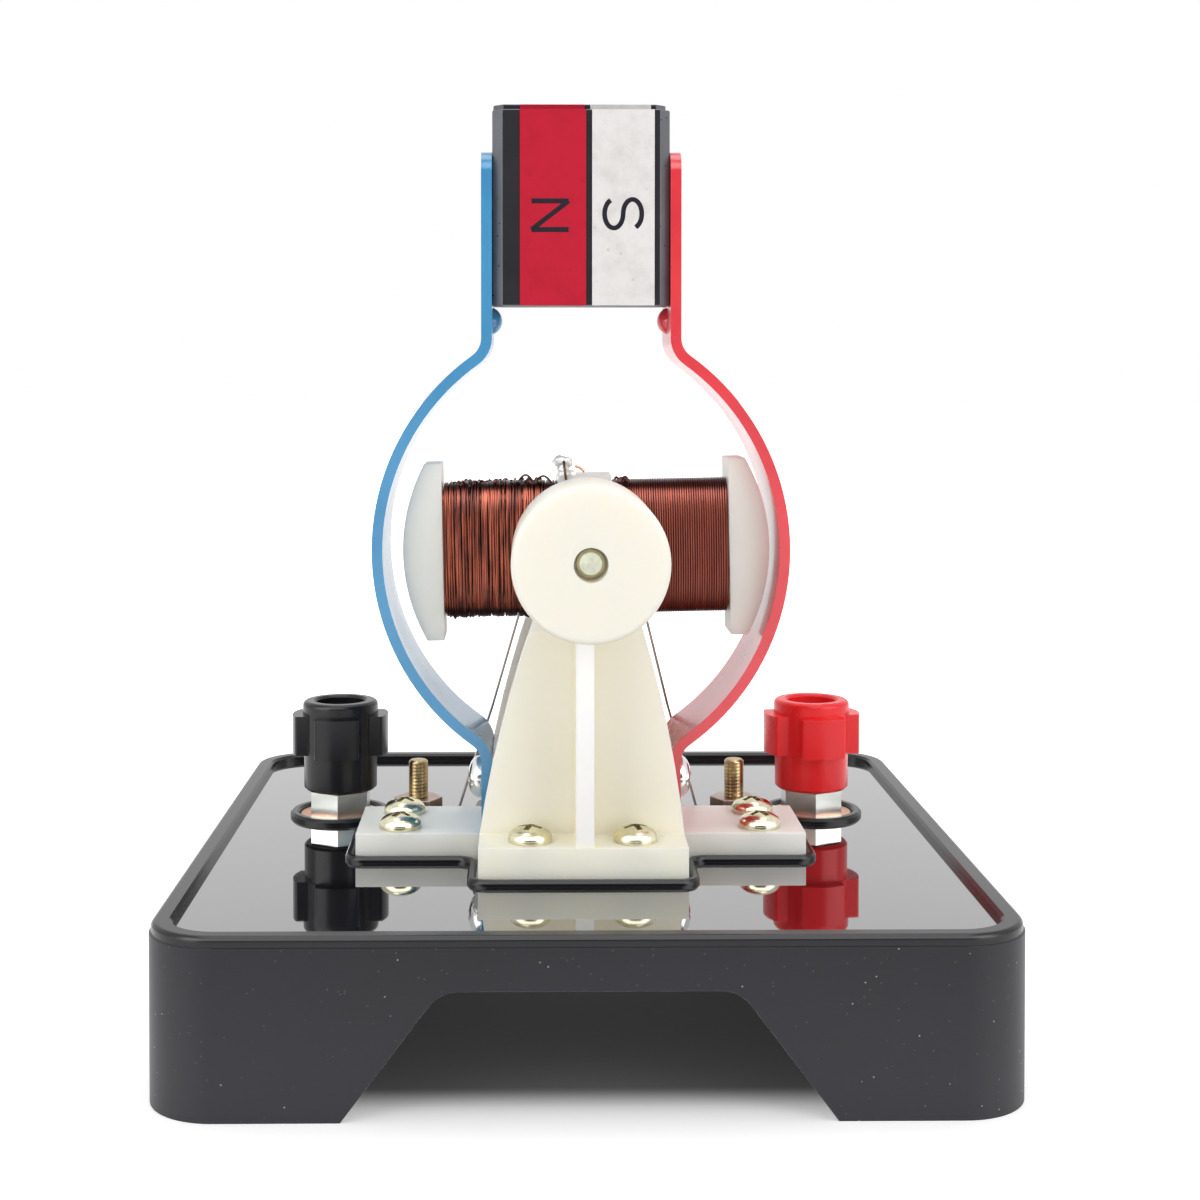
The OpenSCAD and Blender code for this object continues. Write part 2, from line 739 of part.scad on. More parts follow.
// Rings of the wire, square to its route, swept into one closed solid
module wound_wire() {
    n = len(wire_route);
    last = n - 1;
    rings = [for (i = [0:last])
        let (along = unit(wire_direction(min(i, last - 1)) + wire_direction(max(i - 1, 0))),
             side = unit(cross(along, wire_outward[i])),
             out = cross(side, along))
        for (k = [0:wire_sides - 1])
            let (a = 360 * k / wire_sides + 30)
            wire_route[i] + wire_d / 2 * (cos(a) * side + sin(a) * out)];
    skin = [for (i = [0:last - 1], k = [0:wire_sides - 1])
        let (j = (k + 1) % wire_sides, p = i * wire_sides, q = p + wire_sides)
        each [[p + k, q + k, q + j], [p + k, q + j, p + j]]];
    first_cap = [for (k = [1:wire_sides - 2]) [0, k, k + 1]];
    end = last * wire_sides;
    last_cap = [for (k = [1:wire_sides - 2]) [end, end + k + 1, end + k]];
    polyhedron(points = rings, faces = concat(skin, first_cap, last_cap));
}

// Least gap between one turn and the next, measured on the route's points
wire_gap = min([for (i = [0:len(wire_route) - 1], j = [i + 10:1:min(i + 34, len(wire_route) - 1)])
    norm(wire_route[i] - wire_route[j])]) - wire_d;
echo(least_gap_between_turns = wire_gap);

module coil_left() {
    color(enamel_copper) on_armature() rotate([0, 180, 0]) coil_body();
}

module coil_right() {
    color(enamel_copper) on_armature() coil_body();
}

module winding_left() {
    color(enamel_copper) on_armature() rotate([0, 0, 180]) wound_wire();
}

module winding_right() {
    color(enamel_copper) on_armature() wound_wire();
}

// Pieces on the shaft are drawn along +Z from the armature's middle and laid down to the back
module along_shaft(from, turn = 0) {
    on_armature() rotate([0, turn, 0]) rotate([-90, 0, 0]) translate([0, 0, from]) children();
}

shaft_from = front_face_y + shaft_recess - field_y;
shaft_len = boss_span - 2 * shaft_recess;
front_play_y = front_face_y + boss_len + collar_play - field_y;
rear_play_y = 2 * stand_y - front_face_y - boss_len - collar_play - field_y;

module shaft() {
    chamfer = 0.5;
    r = shaft_d / 2 - 0.01;
    color(bright_steel) along_shaft(shaft_from) rotate_extrude()
        polygon([[0, 0], [r - chamfer, 0], [r, chamfer], [r, shaft_len - chamfer],
                 [r - chamfer, shaft_len], [0, shaft_len]]);
}

module shaft_collar() {
    length = -armature_depth / 2 - front_play_y;
    color(brass) along_shaft(front_play_y) difference() {
        cylinder(r = collar_r, h = length);
        translate([0, 0, -over]) cylinder(r = shaft_d / 2, h = length + 2 * over);
        translate([0, 0, length / 2]) rotate([0, 90, 0]) cylinder(r = 1, h = 2 * collar_r);
    }
}

module commutator_sleeve() {
    length = rear_play_y - armature_depth / 2;
    shoulder = (length - segment_len) / 2;
    color(nylon) along_shaft(armature_depth / 2) difference() {
        union() {
            cylinder(r = sleeve_r, h = length);
            cylinder(r = segment_r + sleeve_flange, h = shoulder);
            translate([0, 0, length - shoulder]) cylinder(r = segment_r, h = shoulder);
        }
        translate([0, 0, -over]) cylinder(r = shaft_d / 2, h = length + 2 * over);
    }
}

// One half of the split copper ring
module commutator_segment(turn) {
    length = rear_play_y - armature_depth / 2;
    shoulder = (length - segment_len) / 2;
    along_shaft(armature_depth / 2 + shoulder, turn) difference() {
        cylinder(r = segment_r, h = segment_len);
        translate([0, 0, -over]) cylinder(r = sleeve_r, h = segment_len + 2 * over);
        translate([-2 * segment_r, -2 * segment_r + segment_slit / 2, -over])
            cube([4 * segment_r, 2 * segment_r, segment_len + 2 * over]);
    }
}

module commutator_segment_a() {
    color(copper) commutator_segment(0);
}

module commutator_segment_b() {
    color(copper) commutator_segment(180);
}

// ---------- brushes ----------

// Brush drawn on the right: a bronze leaf with an eye under the stud's nut, leaning in
// to press on the commutator's side. It follows the axis, axis_offset off the middle.
module brush(axis_offset) {
    touch_x = segment_r + brush_gap;
    leaf_line = concat([[leaf_foot_x + 3, panel_z], [leaf_foot_x, panel_z + 0.2],
                        [leaf_foot_x - 0.6, panel_z + 1]], leaf_knees,
                       [[touch_x, leaf_touch_z], [touch_x, leaf_top_z - 3], [touch_x + 1.5, leaf_top_z]]);
    inner = [for (p = leaf_line)
             [p.x + axis_offset * min(1, (p.y - panel_z) / (leaf_touch_z - panel_z)), p.y]];
    outer = [for (p = inner) p + (p.y > panel_z ? [leaf_t, 0] : [0, leaf_t])];
    intersection() {
        translate([0, leaf_foot_y + leaf_w, 0]) rotate([90, 0, 0]) linear_extrude(2 * leaf_w)
            polygon(concat(inner, backwards(outer)));
        rotate([90, 0, 90]) linear_extrude(2 * brush_stud_x) polygon([
            [leaf_foot_y, panel_z - over], [leaf_foot_y + leaf_w, panel_z - over],
            [leaf_foot_y + leaf_w, panel_z + 5], [leaf_top_y + leaf_w, leaf_touch_z],
            [leaf_top_y + leaf_w, leaf_top_z + over], [leaf_top_y, leaf_top_z + over],
            [leaf_top_y, leaf_touch_z], [leaf_foot_y, panel_z + 5]]);
    }
    translate([0, 0, panel_z]) linear_extrude(leaf_t) difference() {
        union() {
            translate([brush_stud_x, stud_y]) circle(brush_nut_af / 2);
            polygon([[leaf_foot_x + 2.8, leaf_foot_y], [leaf_foot_x + 2.8, leaf_foot_y + leaf_w],
                     [brush_stud_x - brush_nut_af / 2 + 0.3, stud_y + 1], [brush_stud_x + 3, stud_y - 3]]);
        }
        translate([brush_stud_x, stud_y]) circle(m4_r + hole_gap);
    }
}

module brush_left() {
    color(copper) mirror([1, 0, 0]) brush(-axis_x);
}

module brush_right() {
    color(copper) brush(axis_x);
}

// Stud with a full M4 end standing above its nut
module brush_stud() {
    chamfer = 0.5;
    shank_top_z = panel_z + leaf_t + m4_nut_h;
    translate([brush_stud_x, stud_y, 0]) rotate_extrude()
        polygon([[0, stud_low_z], [stud_shank_r - chamfer, stud_low_z], [stud_shank_r, stud_low_z + chamfer],
                 [stud_shank_r, shank_top_z], [m4_r, shank_top_z], [m4_r, stud_top_z - chamfer],
                 [m4_r - chamfer, stud_top_z], [0, stud_top_z]]);
}

module brush_stud_left() {
    color(yellow_zinc) mirror([1, 0, 0]) brush_stud();
}

module brush_stud_right() {
    color(yellow_zinc) brush_stud();
}

module brush_nuts() {
    color(brass) both_sides() translate([brush_stud_x, stud_y, panel_z + leaf_t])
        hex_nut(brush_nut_af, m4_nut_h, stud_shank_r + thread_gap);
}

// ---------- fasteners ----------

under_screw_low = panel_under_z - m4_nut_h - screw_past_nut;

module stand_screws() {
    color(yellow_zinc) stand_screw_places() translate([0, 0, foot_top_z]) rotate(20)
        pan_screw(foot_top_z - under_screw_low);
}

module bracket_screws() {
    color(yellow_zinc) bracket_screw_places() translate([0, 0, bracket_top_z]) rotate(35)
        pan_screw(bracket_top_z - under_screw_low);
}

module pole_screws() {
    seat_x = low_leg_x + strip_t / 2;
    color(bright_steel) both_sides() translate([seat_x, field_y, pole_screw_z]) rotate([0, 90, 0])
        pan_screw(strip_t + upstand_t + m4_nut_h + screw_past_nut);
}

module pole_nuts() {
    nut_x = low_leg_x - strip_t / 2 - upstand_t - m4_nut_h;
    color(bright_steel) both_sides() translate([nut_x, field_y, pole_screw_z]) rotate([0, 90, 0])
        hex_nut(m4_nut_af, m4_nut_h, m4_r + thread_gap);
}

module under_nuts() {
    nut_z = panel_under_z - m4_nut_h;
    color(yellow_zinc) {
        stand_screw_places() translate([0, 0, nut_z]) hex_nut(m4_nut_af, m4_nut_h, m4_r + thread_gap);
        bracket_screw_places() translate([0, 0, nut_z]) hex_nut(m4_nut_af, m4_nut_h, m4_r + thread_gap);
        both_sides() translate([brush_stud_x, stud_y, nut_z - link_t])
            hex_nut(m4_nut_af, m4_nut_h, stud_shank_r + thread_gap);
    }
}

// ---------- terminals ----------

// Turned post: a threaded tail through the panel, a hex collar, and a thick threaded
// neck with a 4 mm socket down its middle and a cross hole for bare wire
module post_stud() {
    collar_low = panel_z + post_washer_t;
    translate([post_x, post_y, 0]) difference() {
        union() {
            translate([0, 0, post_low_z]) cylinder(r = post_thread_r, h = collar_low - post_low_z + eps);
            translate([0, 0, collar_low]) rotate(30)
                cylinder(r = post_collar_af / 2 / cos(30), h = post_collar_top_z - collar_low, $fn = 6);
            translate([0, 0, post_collar_top_z - eps])
                cylinder(r = post_stud_r, h = post_stud_top_z - post_collar_top_z + eps);
        }
        translate([0, 0, post_stud_top_z - socket_depth]) cylinder(r = socket_r, h = socket_depth + over);
        translate([-2 * post_stud_r, 0, wire_hole_z]) rotate([0, 90, 0])
            cylinder(r = wire_hole_r, h = 4 * post_stud_r);
    }
}

module post_stud_black() {
    color(bright_steel) mirror([1, 0, 0]) post_stud();
}

module post_stud_red() {
    color(bright_steel) post_stud();
}

module post_washers() {
    color(copper) both_sides() translate([post_x, post_y, panel_z]) difference() {
        cylinder(r = post_washer_r, h = post_washer_t);
        translate([0, 0, -over]) cylinder(r = post_thread_r + 0.05, h = post_washer_t + 2 * over);
    }
}

module post_under_nuts() {
    color(brass) both_sides() translate([post_x, post_y, panel_under_z - link_t - post_nut_h])
        hex_nut(post_nut_af, post_nut_h, post_thread_r + thread_gap);
}

// Flat links under the panel, from each post to the brush stud beside it
module link_strips() {
    color(brass) both_sides() translate([0, 0, panel_under_z - link_t]) linear_extrude(link_t)
        difference() {
            union() {
                translate([brush_stud_x, stud_y]) circle(link_eye_r);
                translate([post_x, post_y]) circle(link_eye_r);
                translate([brush_stud_x, stud_y - link_w / 2]) square([post_x - brush_stud_x, link_w]);
            }
            translate([brush_stud_x, stud_y]) circle(m4_r + hole_gap);
            translate([post_x, post_y]) circle(post_thread_r + hole_gap);
        }
}

module knob_bush() {
    length = bush_top_z - bush_low_z;
    translate([post_x, post_y, bush_low_z]) difference() {
        cylinder(r = bush_r, h = length);
        translate([0, 0, -over]) cylinder(r = post_stud_r + running_gap, h = length + 2 * over);
    }
}

module knob_bush_black() {
    color(brass) mirror([1, 0, 0]) knob_bush();
}

module knob_bush_red() {
    color(brass) knob_bush();
}

// One grip seen from above: a wide lobe with rounded outer corners
module grip_outline() {
    r = knob_d / 2;
    corner_y = grip_w / 2 - grip_round_r;
    corner_x = sqrt(pow(r - grip_round_r, 2) - corner_y * corner_y);
    intersection() {
        circle(r, $fn = 96);
        union() {
            translate([0, -corner_y]) square([r, 2 * corner_y]);
            translate([0, -grip_w / 2]) square([corner_x, grip_w]);
            for (side = [-1, 1]) translate([corner_x, side * corner_y]) circle(grip_round_r, $fn = 24);
        }
    }
}

// Moulded knob: plain skirt, wide grips, rounded collar and an open top over the socket
module knob(turn = 0) {
    bore_r = bush_r + running_gap;
    grip_h = knob_grip_top_z - knob_skirt_top_z;
    translate([post_x, post_y, 0]) {
        rotate_extrude() polygon(concat(
            [[bore_r, knob_low_z], [knob_skirt_r - knob_chamfer, knob_low_z],
             [knob_skirt_r, knob_low_z + knob_chamfer],
             [knob_skirt_r, knob_skirt_top_z], [knob_body_r, knob_skirt_top_z]],
            arc_points([knob_body_r - knob_round_r, knob_top_z - knob_round_r], knob_round_r, 0, 90, 4),
            [[bore_r + knob_chamfer, knob_top_z], [bore_r, knob_top_z - knob_chamfer]]));
        translate([0, 0, knob_skirt_top_z]) linear_extrude(grip_h) difference() {
            for (i = [0:knob_grips - 1]) rotate(360 * i / knob_grips + turn) grip_outline();
            circle(knob_body_r - 0.3);
        }
    }
}

module knob_black() {
    color(moulded_black) mirror([1, 0, 0]) knob();
}

module knob_red() {
    color(strip_red) knob(red_knob_turn);
}

base_shell();
front_stand();
rear_stand();
bracket_left();
bracket_right();
pole_strip_blue();
pole_strip_red();
magnet_front();
magnet_rear();
label_red();
label_white();
armature_bobbin();
armature_core();
coil_left();
coil_right();
winding_left();
winding_right();
shaft();
shaft_collar();
commutator_sleeve();
commutator_segment_a();
commutator_segment_b();
brush_left();
brush_right();
brush_stud_left();
brush_stud_right();
brush_nuts();
stand_screws();
bracket_screws();
pole_screws();
pole_nuts();
under_nuts();
post_stud_black();
post_stud_red();
post_washers();
post_under_nuts();
link_strips();
knob_bush_black();
knob_bush_red();
knob_black();
knob_red();
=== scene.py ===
import json
import random
from math import copysign, cos, pi, radians, sin

import bmesh
import bpy
from mathutils import Matrix, Vector, noise


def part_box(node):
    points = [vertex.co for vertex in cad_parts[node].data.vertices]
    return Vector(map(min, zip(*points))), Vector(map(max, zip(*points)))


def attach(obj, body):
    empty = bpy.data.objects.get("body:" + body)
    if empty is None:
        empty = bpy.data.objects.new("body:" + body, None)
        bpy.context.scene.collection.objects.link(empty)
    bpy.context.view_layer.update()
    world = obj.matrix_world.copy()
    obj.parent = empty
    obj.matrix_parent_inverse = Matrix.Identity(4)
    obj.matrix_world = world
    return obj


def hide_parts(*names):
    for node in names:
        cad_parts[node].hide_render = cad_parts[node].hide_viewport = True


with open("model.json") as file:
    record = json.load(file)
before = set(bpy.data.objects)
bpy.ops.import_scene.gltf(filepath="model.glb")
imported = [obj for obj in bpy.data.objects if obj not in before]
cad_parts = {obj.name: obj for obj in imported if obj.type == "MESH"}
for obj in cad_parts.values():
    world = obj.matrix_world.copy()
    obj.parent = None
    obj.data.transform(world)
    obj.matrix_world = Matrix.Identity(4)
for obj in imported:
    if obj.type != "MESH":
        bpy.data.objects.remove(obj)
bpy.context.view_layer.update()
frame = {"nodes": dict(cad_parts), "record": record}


# ---------------------------------------------------------------- camera
# The motor is seen from its front end, nearly level, from a little to the left of the
# middle. The lens and its shift are those of a 1200 x 1200 photograph.
MM = 0.001
scene = bpy.context.scene
photo_size = 1200
focal_px = 1869.5
camera_place = (-9.54 * MM, -367.4 * MM, 120.34 * MM)
tilted_down = 1.25
turned_right = 0.655
camera = bpy.data.cameras.new("camera")
camera.sensor_width = 36
camera.lens = camera.sensor_width * focal_px / photo_size
camera.shift_x = 0.0406
camera.shift_y = -0.1602
camera.clip_start = 0.01
camera_object = bpy.data.objects.new("camera", camera)
camera_object.location = camera_place
camera_object.rotation_euler = (radians(90 - tilted_down), 0, radians(-turned_right))
scene.collection.objects.link(camera_object)
scene.camera = camera_object
scene.view_settings.view_transform = "Standard"


# ---------------------------------------------------------------- studio
# A white table in a white room that is brightest behind the motor, with two soft lamps in
# front and one above. Gloss also shows the dark behind the camera, and three softboxes: one
# overhead, and an upright one on either side.
def node(tree, kind, inputs=None, **settings):
    """Adds a shader node, and sets its sockets to numbers or links them to other sockets."""
    made = tree.nodes.new("ShaderNode" + kind)
    for name, value in settings.items():
        setattr(made, name, value)
    for name, value in (inputs or {}).items():
        socket = made.inputs[name]
        if isinstance(value, bpy.types.NodeSocket):
            tree.links.new(value, socket)
        else:
            socket.default_value = value
    return made


def math_node(tree, operation, first, second=0.0, third=0.0, clamp=False):
    made = node(tree, "Math", {0: first, 1: second, 2: third}, operation=operation, use_clamp=clamp)
    return made.outputs[0]


def band(tree, value, low, high, soft):
    """1 where the value lies between low and high, falling to 0 over the soft width outside."""
    rise = node(tree, "MapRange", {"Value": value, "From Min": low - soft, "From Max": low})
    fall = node(tree, "MapRange", {"Value": value, "From Min": high + soft, "From Max": high})
    return math_node(tree, "MULTIPLY", rise.outputs[0], fall.outputs[0])


def light_the_room(ambient, backdrop, behind_camera, softbox):
    """Strengths of the light all round, behind the motor, and of what gloss shows in front."""
    world = bpy.data.worlds.new("studio")
    scene.world = world
    world.use_nodes = True
    tree = world.node_tree
    tree.nodes.clear()
    way = node(tree, "SeparateXYZ", {0: node(tree, "TexCoord").outputs["Generated"]})
    aside = math_node(tree, "ABSOLUTE", way.outputs["X"])
    upwards = math_node(tree, "MAXIMUM", way.outputs["Z"], 0.0)
    forwards = math_node(tree, "MULTIPLY", way.outputs["Y"], -1.0)

    high_up = band(tree, way.outputs["Z"], low=0.45, high=0.8, soft=0.08)
    overhead = math_node(tree, "MULTIPLY", high_up, band(tree, forwards, low=0.3, high=1.0, soft=0.1))
    low_down = band(tree, way.outputs["Z"], low=0.08, high=0.42, soft=0.06)
    at_side = band(tree, aside, low=0.8, high=1.0, soft=0.05)
    in_front = band(tree, forwards, low=0.15, high=0.6, soft=0.05)
    upright = math_node(tree, "MULTIPLY", low_down, math_node(tree, "MULTIPLY", at_side, in_front))
    boxes = math_node(tree, "MULTIPLY", math_node(tree, "ADD", overhead, upright), softbox)

    edge_of_dark = 3.0
    beside = math_node(tree, "ADD", aside, upwards)
    towards_dark = math_node(tree, "SUBTRACT", forwards, beside)
    dark = math_node(tree, "MULTIPLY", towards_dark, edge_of_dark, clamp=True)
    glossy_light = math_node(tree, "MULTIPLY_ADD", dark, behind_camera - 1.0, 1.0)
    glossy_light = math_node(tree, "ADD", glossy_light, boxes)

    soft_light = node(tree, "MapRange", {"Value": way.outputs["Y"], "From Min": 0.1, "From Max": 0.6,
                                         "To Min": ambient, "To Max": backdrop})
    path = node(tree, "LightPath")
    strength = node(tree, "Mix", {0: path.outputs["Is Glossy Ray"], 2: soft_light.outputs[0],
                                  3: glossy_light})
    seen = math_node(tree, "MAXIMUM", path.outputs["Is Camera Ray"],
                     path.outputs["Is Transmission Ray"])
    strength = node(tree, "Mix", {0: seen, 2: strength.outputs[0], 3: 1.0})
    background = node(tree, "Background", {"Color": (1, 1, 1, 1), "Strength": strength.outputs[0]})
    output = node(tree, "OutputWorld")
    tree.links.new(background.outputs[0], output.inputs["Surface"])


def soft_lamp(name, place, target, width, height, power):
    lamp = bpy.data.lights.new(name, "AREA")
    lamp.shape = "RECTANGLE"
    lamp.size = width
    lamp.size_y = height
    lamp.energy = power
    lamp_object = bpy.data.objects.new(name, lamp)
    lamp_object.location = place
    towards = Vector(target) - Vector(place)
    lamp_object.rotation_euler = towards.to_track_quat("-Z", "Y").to_euler()
    scene.collection.objects.link(lamp_object)


def white_table(size, part_half, shade, painted_shadow_colour, near_glow, far_glow, glow_grows, shade_glow,
                gloss_glow):
    """A matt white floor that glows towards the camera, with a painted shadow darkening its colour
    under the part itself.
    """
    table = bmesh.new()
    bmesh.ops.create_grid(table, x_segments=1, y_segments=1, size=size / 2)
    mesh = bpy.data.meshes.new("table_top")
    table.to_mesh(mesh)
    table.free()
    floor = bpy.data.objects.new("table_top", mesh)
    scene.collection.objects.link(floor)
    material = bpy.data.materials.new("white_table")
    material.use_nodes = True
    tree = material.node_tree
    shader = tree.nodes["Principled BSDF"]
    shader.inputs["Roughness"].default_value = 0.7
    place = node(tree, "TexCoord").outputs["Object"]
    across = node(tree, "SeparateXYZ", {0: place})
    away = math_node(tree, "MAXIMUM", math_node(tree, "ABSOLUTE", across.outputs["X"]),
                     math_node(tree, "ABSOLUTE", across.outputs["Y"]))
    # Painted shadow: under the part, from the given distances inside its edge, the floor's colour is
    # darkened to a set grey.
    uncovered = node(tree, "MapRange", {"Value": away, "From Min": part_half - shade[0],
                                        "From Max": part_half - shade[1]},
                     interpolation_type="SMOOTHSTEP").outputs[0]
    paper = node(tree, "TexNoise", {"Vector": place, "Scale": 40.0})
    tint = node(tree, "MapRange", {"Value": paper.outputs["Fac"], "To Min": 0.86, "To Max": 0.9})
    painted_shadow_floor = node(tree, "Mix", {0: uncovered, 2: painted_shadow_colour, 3: tint.outputs[0]})
    tree.links.new(painted_shadow_floor.outputs[0], shader.inputs["Base Color"])
    path = node(tree, "LightPath")
    shader.inputs["Emission Color"].default_value = (1, 1, 1, 1)
    glow = node(tree, "MapRange", {"Value": away, "From Min": glow_grows[0], "From Max": glow_grows[1],
                                   "To Min": near_glow, "To Max": far_glow})
    glow = node(tree, "Mix", {0: uncovered, 2: shade_glow, 3: glow.outputs[0]})
    seen = math_node(tree, "MULTIPLY", path.outputs["Is Camera Ray"], glow.outputs[0])
    mirrored = math_node(tree, "MULTIPLY", path.outputs["Is Glossy Ray"], gloss_glow)
    mirrored = math_node(tree, "MULTIPLY", mirrored, uncovered)
    tree.links.new(math_node(tree, "ADD", seen, mirrored), shader.inputs["Emission Strength"])
    mesh.materials.append(material)


light_the_room(ambient=0.58, backdrop=1.15, behind_camera=0.06, softbox=3.0)
for side, x in (("left", -0.62), ("right", 0.62)):
    soft_lamp(side + "_lamp", (x, -0.62, 0.34), target=(0, 0, 0.06), width=0.4, height=0.7, power=2.2)
soft_lamp("top_lamp", (0, 0.05, 0.95), target=(0, 0, 0), width=0.7, height=0.5, power=2.6)
white_table(size=12, part_half=0.0722, shade=(0.015, 0.002), painted_shadow_colour=0.1, near_glow=0.35,
            far_glow=1.0, glow_grows=(0.09, 0.3), shade_glow=0.024, gloss_glow=0.5)


# ---------------------------------------------------------------- moulded base
# One square moulding in black styrene, open underneath: polished panel and rim, satin
# speckled sides with a finger arch front and back, and raised beads round the feet and posts.
def effect(name, inputs, outputs):
    """An empty node group with its sockets, for an effect that several materials share."""
    group = bpy.data.node_groups.new(name, "ShaderNodeTree")
    for label, kind, value in inputs:
        socket = group.interface.new_socket(label, in_out="INPUT", socket_type="NodeSocket" + kind)
        socket.default_value = value
    for label, kind in outputs:
        group.interface.new_socket(label, in_out="OUTPUT", socket_type="NodeSocket" + kind)
    given = group.nodes.new("NodeGroupInput").outputs
    out = group.nodes.new("NodeGroupOutput").inputs
    return group, given, out


def make_moulded_skin():
    """Fine unevenness of a moulded or painted skin, and gloss that varies a little over it."""
    group, given, out = effect(
        "moulded_skin",
        [("Grain Scale", "Float", 900.0), ("Height", "Float", 0.1), ("Gloss Low", "Float", 0.3),
         ("Gloss High", "Float", 0.4)],
        [("Roughness", "Float"), ("Normal", "Vector")])
    place = node(group, "TexCoord").outputs["Object"]
    grain = node(group, "TexNoise", {"Vector": place, "Scale": given["Grain Scale"], "Detail": 3.0})
    bump = node(group, "Bump", {"Height": grain.outputs["Fac"], "Strength": given["Height"],
                                "Distance": 0.02 * MM})
    group.links.new(bump.outputs["Normal"], out["Normal"])
    patches = node(group, "TexNoise", {"Vector": place, "Scale": 45.0, "Detail": 4.0})
    gloss = node(group, "MapRange", {"Value": patches.outputs["Fac"], "From Min": 0.3,
                                     "From Max": 0.7, "To Min": given["Gloss Low"],
                                     "To Max": given["Gloss High"]})
    group.links.new(gloss.outputs[0], out["Roughness"])
    return group


def make_specks():
    """Mask of scattered specks: dust on the black moulding, pits in ferrite, stains on paper."""
    group, given, out = effect(
        "specks", [("Scale", "Float", 200.0), ("Size", "Float", 0.1), ("Share", "Float", 0.2)],
        [("Mask", "Float")])
    place = node(group, "TexCoord").outputs["Object"]
    cells = node(group, "TexVoronoi", {"Vector": place, "Scale": given["Scale"]})
    chosen = node(group, "SeparateColor", {0: cells.outputs["Color"]})
    near = math_node(group, "LESS_THAN", cells.outputs["Distance"], given["Size"])
    picked = math_node(group, "LESS_THAN", chosen.outputs[0], given["Share"])
    group.links.new(math_node(group, "MULTIPLY", near, picked), out["Mask"])
    return group


moulded_skin = make_moulded_skin()
specks = make_specks()


def group_node(tree, group, inputs):
    made = node(tree, "Group", node_tree=group)
    for name, value in inputs.items():
        made.inputs[name].default_value = value
    return made


def skin_node(tree, grain, height, gloss_low, gloss_high):
    return group_node(tree, moulded_skin, {"Grain Scale": grain, "Height": height,
                                           "Gloss Low": gloss_low, "Gloss High": gloss_high})


def put_skin(tree, shader, grain, height, gloss_low, gloss_high):
    """Gives a material's shader the skin's gloss and unevenness."""
    skin = skin_node(tree, grain, height, gloss_low, gloss_high)
    tree.links.new(skin.outputs["Roughness"], shader.inputs["Roughness"])
    tree.links.new(skin.outputs["Normal"], shader.inputs["Normal"])


def mix_colour(tree, amount, first, second):
    return node(tree, "Mix", {0: amount, 6: first, 7: second}, data_type="RGBA").outputs[2]


def finish(name, **constants):
    """A material with one Principled shader, its constant sockets set, and its tree to build on."""
    material = bpy.data.materials.new(name)
    material.use_nodes = True
    shader = material.node_tree.nodes["Principled BSDF"]
    for label, value in constants.items():
        shader.inputs[label.replace("_", " ")].default_value = value
    return material, material.node_tree, shader


